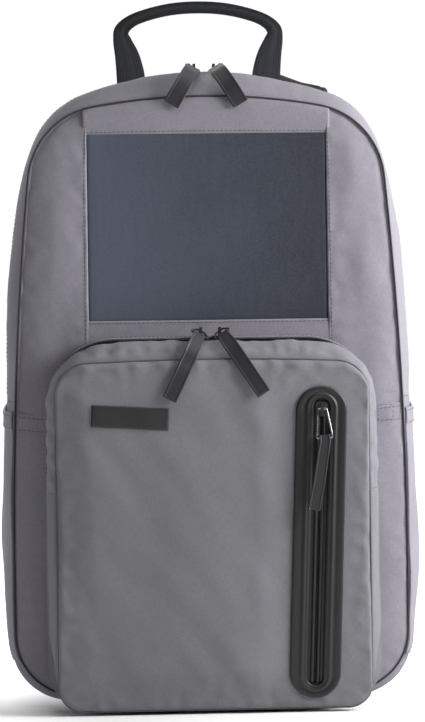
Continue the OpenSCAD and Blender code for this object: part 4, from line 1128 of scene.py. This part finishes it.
# ---------------------------------------------------------------- back
# A foam panel in black air mesh closes the back. Two upright pads and a lumbar pad are sewn on it,
# each with shallow channels across.
air_mesh = Finish("air_mesh", (0.026, 0.026, 0.029), 0.85, specular=0.2)
holes = air_mesh.add("ShaderNodeTexVoronoi", {}, {"Vector": air_mesh.place(), "Scale": 340.0})
air_mesh.set("Base Color", air_mesh.tint(holes * 1.3, 1.9, 0.35))
air_mesh.bump(holes, 0.0005)
back_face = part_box("back_panel")
back = filled(outline(*back_arcs, inset=2.6 * mm), back_face[0].y, flat_rows(70, 0.04, 8))[:, ::-1]
pillow(back, 7.6 * mm, 0, 30 * mm, ((9 * mm, 5.5 * mm),) * 4, forward=1, seed=51, folds=0.5 * mm)
piece = sheet_piece("back_cover", back, air_mesh, 0, "bag",
                    back=back_face[0].y + 0.2 * mm)
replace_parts(piece, "back_panel")
pads_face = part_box("back_pads")


def back_pad(name, x, z, half_width, half_length, lying):
    """A crowned pad with rounded ends, in air mesh."""
    run = (flat_rows(70, 0.05, 8) * 2 - 1) * half_length
    end = np.clip((np.abs(run) - (half_length - half_width)) / half_width, 0, 0.9995)
    half = half_width * np.sqrt(1 - end ** 2)
    across = (flat_rows(30, 0.1, 6) * 2 - 1)[None] * half[:, None]
    along_run = np.broadcast_to(run[:, None], across.shape)
    plane = [x + along_run, z - across] if lying else [x + across, z - along_run]
    grid = np.stack([plane[0], np.full(across.shape, pads_face[0].y), plane[1]], 2)
    grid = (grid.transpose(1, 0, 2) if lying else grid)[:, ::-1]
    pillow(grid, 7.8 * mm, 0, 10 * mm, ((18 * mm, 6.8 * mm),) * 4, forward=1, seed=61 + x * 10,
           folds=0.3 * mm)
    line = grid[..., 0] - x if lying else grid[..., 2] - z
    for channel in np.arange(-2, 3) * 2 * half_length / 6:
        crown = grid[..., 1] > pads_face[0].y + 3 * mm
        grid[..., 1] -= 1.5 * mm * hump(line, channel, 1.8 * mm) * crown
    pad = sheet_piece(name, grid, air_mesh, 0, "bag",
                      back=pads_face[0].y + 0.1 * mm)
    return pad


back_pad("back_pad_left", -0.057, 0.330, 29 * mm, 95 * mm, False)
back_pad("back_pad_right", 0.057, 0.330, 29 * mm, 95 * mm, False)
back_pad("lumbar_pad", 0.0, 0.118, 31 * mm, 105 * mm, True)
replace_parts(bpy.data.objects["lumbar_pad"], "back_pads")

# ---------------------------------------------------------------- strap anchors
# A band of cloth across the top of the back that the shoulder pads are sewn under, and a wing of the
# same cloth in each lower side seam.
anchor_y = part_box("strap_anchors")[1].y
anchor_cloth = woven("anchor_cloth", (0.020, 0.020, 0.023), 0.7 * mm)
anchor_shapes = {"anchor_band": ((-101, 449), (101, 449), (101, 432), (-101, 432)),
                 "anchor_wing_right": ((108, 68), (135, 64), (143, 30), (118, 24)),
                 "anchor_wing_left": ((-135, 64), (-108, 68), (-118, 24), (-143, 30))}
back_stitches = []
for name, corners in anchor_shapes.items():
    corners = np.array(corners) * mm
    top = corners[:1] + (corners[1:2] - corners[:1]) * flat_rows(60, 0.04, 5)[:, None]
    low = corners[3:] + (corners[2:3] - corners[3:]) * flat_rows(60, 0.04, 5)[:, None]
    grid = spread(upright(top, anchor_y), upright(low, anchor_y), flat_rows(14, 0.1, 5))[:, ::-1]
    pillow(grid, -0.3 * mm, 0, 5 * mm, ((1.2 * mm, 1.1 * mm),) * 4, forward=1, seed=71, folds=0.2 * mm,
           pucker=0.2 * mm)
    piece = sheet_piece(name, grid, anchor_cloth, 1.6 * mm, "bag")
    back_stitches += [sew_row(grid, 2.6 * mm, 0.03, 0.97), sew_row(grid, -2.6 * mm, 0.03, 0.97)]
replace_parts(bpy.data.objects["anchor_band"], "strap_anchors")

# ---------------------------------------------------------------- shoulder straps
# Contoured foam pads covered in black cloth that come over the top of the back and run down to a
# ladder lock. A stitched binding follows both edges.
binding = 0.86   # where the binding's stitches run, as a share of the pad's half width
strap_cloth = woven("strap_cloth", (0.019, 0.019, 0.022), 0.6 * mm)
# [x, y, z, droop of the outer edge in degrees, width factor, half thickness, how far the right one
# rises and the left one sinks over the shoulder]
pad_stations = np.array([
    (68, 76.8, 450, 14, 0.92, 2.8, 0), (70, 79, 460, 18, 0.94, 3.4, 2), (73, 84, 467, 21, 0.96, 4.2, 5),
    (75, 92, 467.5, 20, 0.98, 4.8, 6), (77, 100, 460, 16, 1.00, 5.2, 5), (80, 107, 440, 11, 1.02, 5.5, 3),
    (85, 111, 405, 7, 1.05, 5.5, 1), (90, 112, 362, 4, 1.06, 5.5, 0), (95, 110, 318, 2, 1.04, 5.5, 0),
    (99, 105.5, 276, 0, 0.98, 5.4, 0), (103, 100, 240, 0, 0.86, 5, 0), (105, 96.5, 214, 0, 0.66, 4, 0)])
for side, word in sides:
    stations = curve_points(pad_stations, 9)
    centres = stations[:, :3] * mm * (side, 1, 1)
    centres[:, 2] += side * stations[:, 6] * mm * (1.0 if side < 0 else 1.2)
    step = headings(centres)
    droop = np.radians(stations[:, 3])
    level = stood(np.cos(droop), 0.0, -side * np.sin(droop))
    a = unit(level - step * (level * step).sum(1)[:, None])
    b = np.cross(step, a)
    half_wide = 29 * mm * stations[:, 4:5]
    half_deep = stations[:, 5:6] * mm * (1 + 0.03 * np.sin(np.arange(len(stations)) * 0.9))[:, None]
    shape = rounded(0.6, 72)
    shape[:, 1] *= 1 - 0.22 * hump(np.abs(shape[:, 0]), binding, 0.035)
    piece = tube_piece(f"shoulder_pad_{word}", centres, a * half_wide, b * half_deep, shape, strap_cloth,
                       f"strap_{word}")
    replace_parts(piece, f"strap_pad_{word}")
    runs = []
    for edge_side in (-binding, binding):
        for face_side in (-1, 1):
            path = centres + a * half_wide * edge_side + b * half_deep * face_side * 0.60
            runs.append((path[4:-4], (b * face_side)[4:-4]))
    repeat_along(f"shoulder_stitches_{word}", runs, stitch_pitch, stitch_size, thread, f"strap_{word}")

# ---------------------------------------------------------------- ladder locks and webbing
# Moulded ladder locks, and ribbed webbing that comes up from the wing, round the lock's middle bar
# and down as a tail.
moulded = Finish("moulded_plastic", (0.016, 0.016, 0.018), 0.5, specular=0.5)
moulded.set("Roughness", moulded.speckle(500.0) * 0.2 + 0.38)
moulded.grain(2200.0, 0.00004, detail=3)
strap_webbing = woven("strap_webbing", (0.017, 0.018, 0.021), 1.0 * mm, roughness=0.62, relief=0.00022,
                      slub=0.04)
lock_at = np.array([106.5, 93, 188])
wing_at = np.array([122, 77, 52])
run = lock_at - wing_at
run_z = unit(run)
run_x = unit(np.array([1, 0, 0]) - run_z * run_z[0])
run_y = np.cross(run_z, run_x)
bend_r = 3.15
over = [(bend_r * math.cos(a), bend_r * math.sin(a)) for a in np.linspace(math.pi, 0, 11)]
webbing_path = np.array([(-3.4, 6 - np.linalg.norm(run)), (-3.4, -60), (-bend_r, -9)] + over
                        + [(bend_r + 1.6, -9), (bend_r + 2.4, -40), (bend_r + 1.5, -118)])
# A short loop of the same webbing hangs the lock's top bar from the end of the pad.
bar_z, loop_r = 12, 2.75
under = [(loop_r * math.cos(a), bar_z + loop_r * math.sin(a)) for a in np.linspace(math.pi, math.tau, 11)]
loop_path = np.array([(-1.6, 34), (-2.4, 24)] + under + [(2.4, 24), (1.6, 34)])


def lock_webbing(name, path, side, body):
    """Webbing along a path of (out, up) from the lock, in the lock's own plane."""
    centres = (lock_at + path[:, :1] * run_y + path[:, 1:] * run_z) * mm * (side, 1, 1)
    a = np.tile(run_x * (1, side, side), (len(centres), 1))
    return tube_piece(name, centres, a * 12.5 * mm, np.cross(headings(centres), a) * 0.75 * mm,
                      rounded(0.4, 96, 11, 0.16), strap_webbing, body)


for side, word in sides:
    paint(f"ladder_lock_{word}", moulded, 0.5 * mm)
    piece = lock_webbing(f"webbing_{word}", even(webbing_path, 170), side, None)
    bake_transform(piece)
    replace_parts(piece, f"strap_webbing_{word}")
    lock_webbing(f"lock_loop_{word}", even(loop_path, 60), side, f"strap_{word}")

# ---------------------------------------------------------------- base
# A patch of coated cloth sewn under the bottom, which the bag stands on, and a stiff board inside.
coated_cloth = woven("coated_cloth", (0.022, 0.022, 0.025), 0.7 * mm, roughness=0.55)
board = Finish("board", (0.05, 0.05, 0.052), 0.7, specular=0.3)
board.set("Base Color", board.tint(board.speckle(300.0, detail=3), 1.3, 0.8))
board.grain(900.0, 0.0001)
paint("base_board", board, 0.4 * mm)
patch_low, patch_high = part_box("base_patch")
x, y = np.meshgrid(patch_low.x + (patch_high.x - patch_low.x) * flat_rows(70, 0.03, 5),
                   patch_low.y + (patch_high.y - patch_low.y) * flat_rows(44, 0.04, 5))
rim = to_rim(x, y, patch_low, patch_high)
grid = stood(x, y, 0.2 * mm + 0.9 * mm * (1 - ramp(rim, 0, 1.6 * mm)))
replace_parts(sheet_piece("bottom_patch", grid, coated_cloth, 0.8 * mm, "bag"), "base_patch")
back_stitches += [sew_row(grid, 3 * mm, 0.02, 0.98), sew_row(grid, -3 * mm, 0.02, 0.98),
                  sew_col(grid, 3 * mm, 0.03, 0.97), sew_col(grid, -3 * mm, 0.03, 0.97)]

# ---------------------------------------------------------------- inside
# A padded sleeve wall for a laptop, and a cloth pocket on the inside of the front panel that the
# battery drops into.
lining = woven("lining", (0.060, 0.060, 0.068), 0.4 * mm, roughness=0.7)
sleeve_low, sleeve_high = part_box("laptop_sleeve")
grid = filled(outline(*back_arcs, inset=14.3 * mm), sleeve_low.y, flat_rows(50, 0.04, 6))[:, ::-1]
top = grid[0, :, 2].copy()
low = grid[-1, :, 2].copy()
share = (top[None] - grid[..., 2]) / (top - low)[None]
grid[..., 2] = np.minimum(top, sleeve_high.z)[None] * (1 - share) + low[None] * share
pillow(grid, 4.8 * mm, 0, 20 * mm, ((4 * mm, 3 * mm),) * 4, forward=1, seed=81, folds=0.3 * mm)
piece = sheet_piece("sleeve_wall", grid, lining, 0, "bag", back=sleeve_low.y + 0.2 * mm)
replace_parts(piece, "laptop_sleeve")
sock_low, sock_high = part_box("battery_pocket")
middle = (sock_low + sock_high) / 2
half_x, half_y = (sock_high.x - sock_low.x) / 2 - 0.3 * mm, (sock_high.y - sock_low.y) / 2 - 0.3 * mm
section = rounded(0.18, 120) * (half_x, half_y)
rows = [(sock_high.z - drop * mm, 1.0 - tuck)
        for drop, tuck in ((1.2, 0.03), (0.2, 0.02), (0.0, 0.01), (1.5, 0.0))]
rows += [(z, 1.0) for z in np.linspace(sock_high.z - 6 * mm, sock_low.z + 3 * mm, 24)]
rows += [(sock_low.z + rise * mm, size)
         for rise, size in ((0.8, 0.985), (0.2, 0.94), (0.1, 0.5), (0.1, 0.02))]
grid = np.array([[(middle.x + x * size, middle.y + y * size, z) for x, y in section] for z, size in rows])
if normals(grid)[10, 0] @ (grid[10, 0] - np.array([middle.x, middle.y, grid[10, 0, 2]])) < 0:
    grid = grid[:, ::-1]
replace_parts(sheet_piece("battery_sock", grid, lining, 1.2 * mm, "bag", closed=True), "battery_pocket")

# ---------------------------------------------------------------- laminate's lead
# A thin round lead from the junction box to the plug, along the inside of the front panel.
rubber = Finish("lead_rubber", (0.018, 0.018, 0.020), 0.5)
rubber.grain(1200.0, 0.00004)
lead_top = (0, -56.4, 297)
lead_route = curve_points([lead_top, (0, -56.4, 285), (6, -55, 268), (9, -53.5, 250), (6, -52, 232),
                           (0, -50.5, 216), (-3.5, -49.2, 204), (-4, -49, 195)], 8) * mm
lead = round_wire("laminate_lead", lead_route, 1.75 * mm, rubber, "bag", closed=False, up=(0, 1, 0))
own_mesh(lead)
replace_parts(lead, "solar_cable")

# ---------------------------------------------------------------- electrics
# The cells are dark blue silicon with fine contact lines, laid on a black backsheet. The battery has
# a matt moulded case round a foil cell and a green board.
silicon = Finish("silicon", (0.030, 0.040, 0.075), 0.25, specular=0.6, coat=0.4)
split = silicon.add("ShaderNodeSeparateXYZ", {}, [silicon.place()])
fingers = silicon.add("ShaderNodeMath", {"operation": "SINE"}, [split * (math.tau / 0.0018)])
silicon.set("Base Color", silicon.tint(fingers ** 16, 3.0, 0.9))
backsheet = Finish("backsheet", (0.018, 0.019, 0.022), 0.6)
backsheet.grain(800.0, 0.00005)
foil = Finish("cell_foil", (0.42, 0.43, 0.45), 0.35, metallic=0.8)
foil.set("Roughness", foil.speckle(120.0, detail=3) * 0.3 + 0.2)
foil.grain(90.0, 0.0003)
board_green = Finish("circuit_board", (0.020, 0.090, 0.045), 0.45)
board_green.set("Base Color", board_green.tint(board_green.speckle(700.0, detail=1), 1.8, 0.6))
case = Finish("battery_case", (0.030, 0.030, 0.034), 0.55)
case.set("Roughness", case.speckle(300.0) * 0.2 + 0.45)
case.grain(2600.0, 0.00005, detail=3)
knob = Finish("button", (0.09, 0.09, 0.10), 0.4)
knob.grain(2000.0, 0.00003)
for node, finish, bevel in (("solar_cells", silicon, 0), ("solar_backsheet", backsheet, 0),
                            ("solar_junction_box", moulded, 0.5), ("usb_plug", moulded, 0.25),
                            ("battery_case_front", case, 0.4), ("battery_case_rear", case, 0.4),
                            ("battery_cell", foil, 0.6), ("battery_board", board_green, 0),
                            ("battery_button", knob, 0.3)):
    paint(node, finish, bevel * mm)

# ---------------------------------------------------------------- stitches
# Rows of thread in the body's cloth and in the pocket's.
repeat_along("body_stitches", body_stitches, stitch_pitch, stitch_size, thread, "bag")
repeat_along("pocket_stitches", pocket_stitches, stitch_pitch, stitch_size, thread, "bag")
repeat_along("back_stitches", back_stitches, stitch_pitch, stitch_size, thread, "bag")
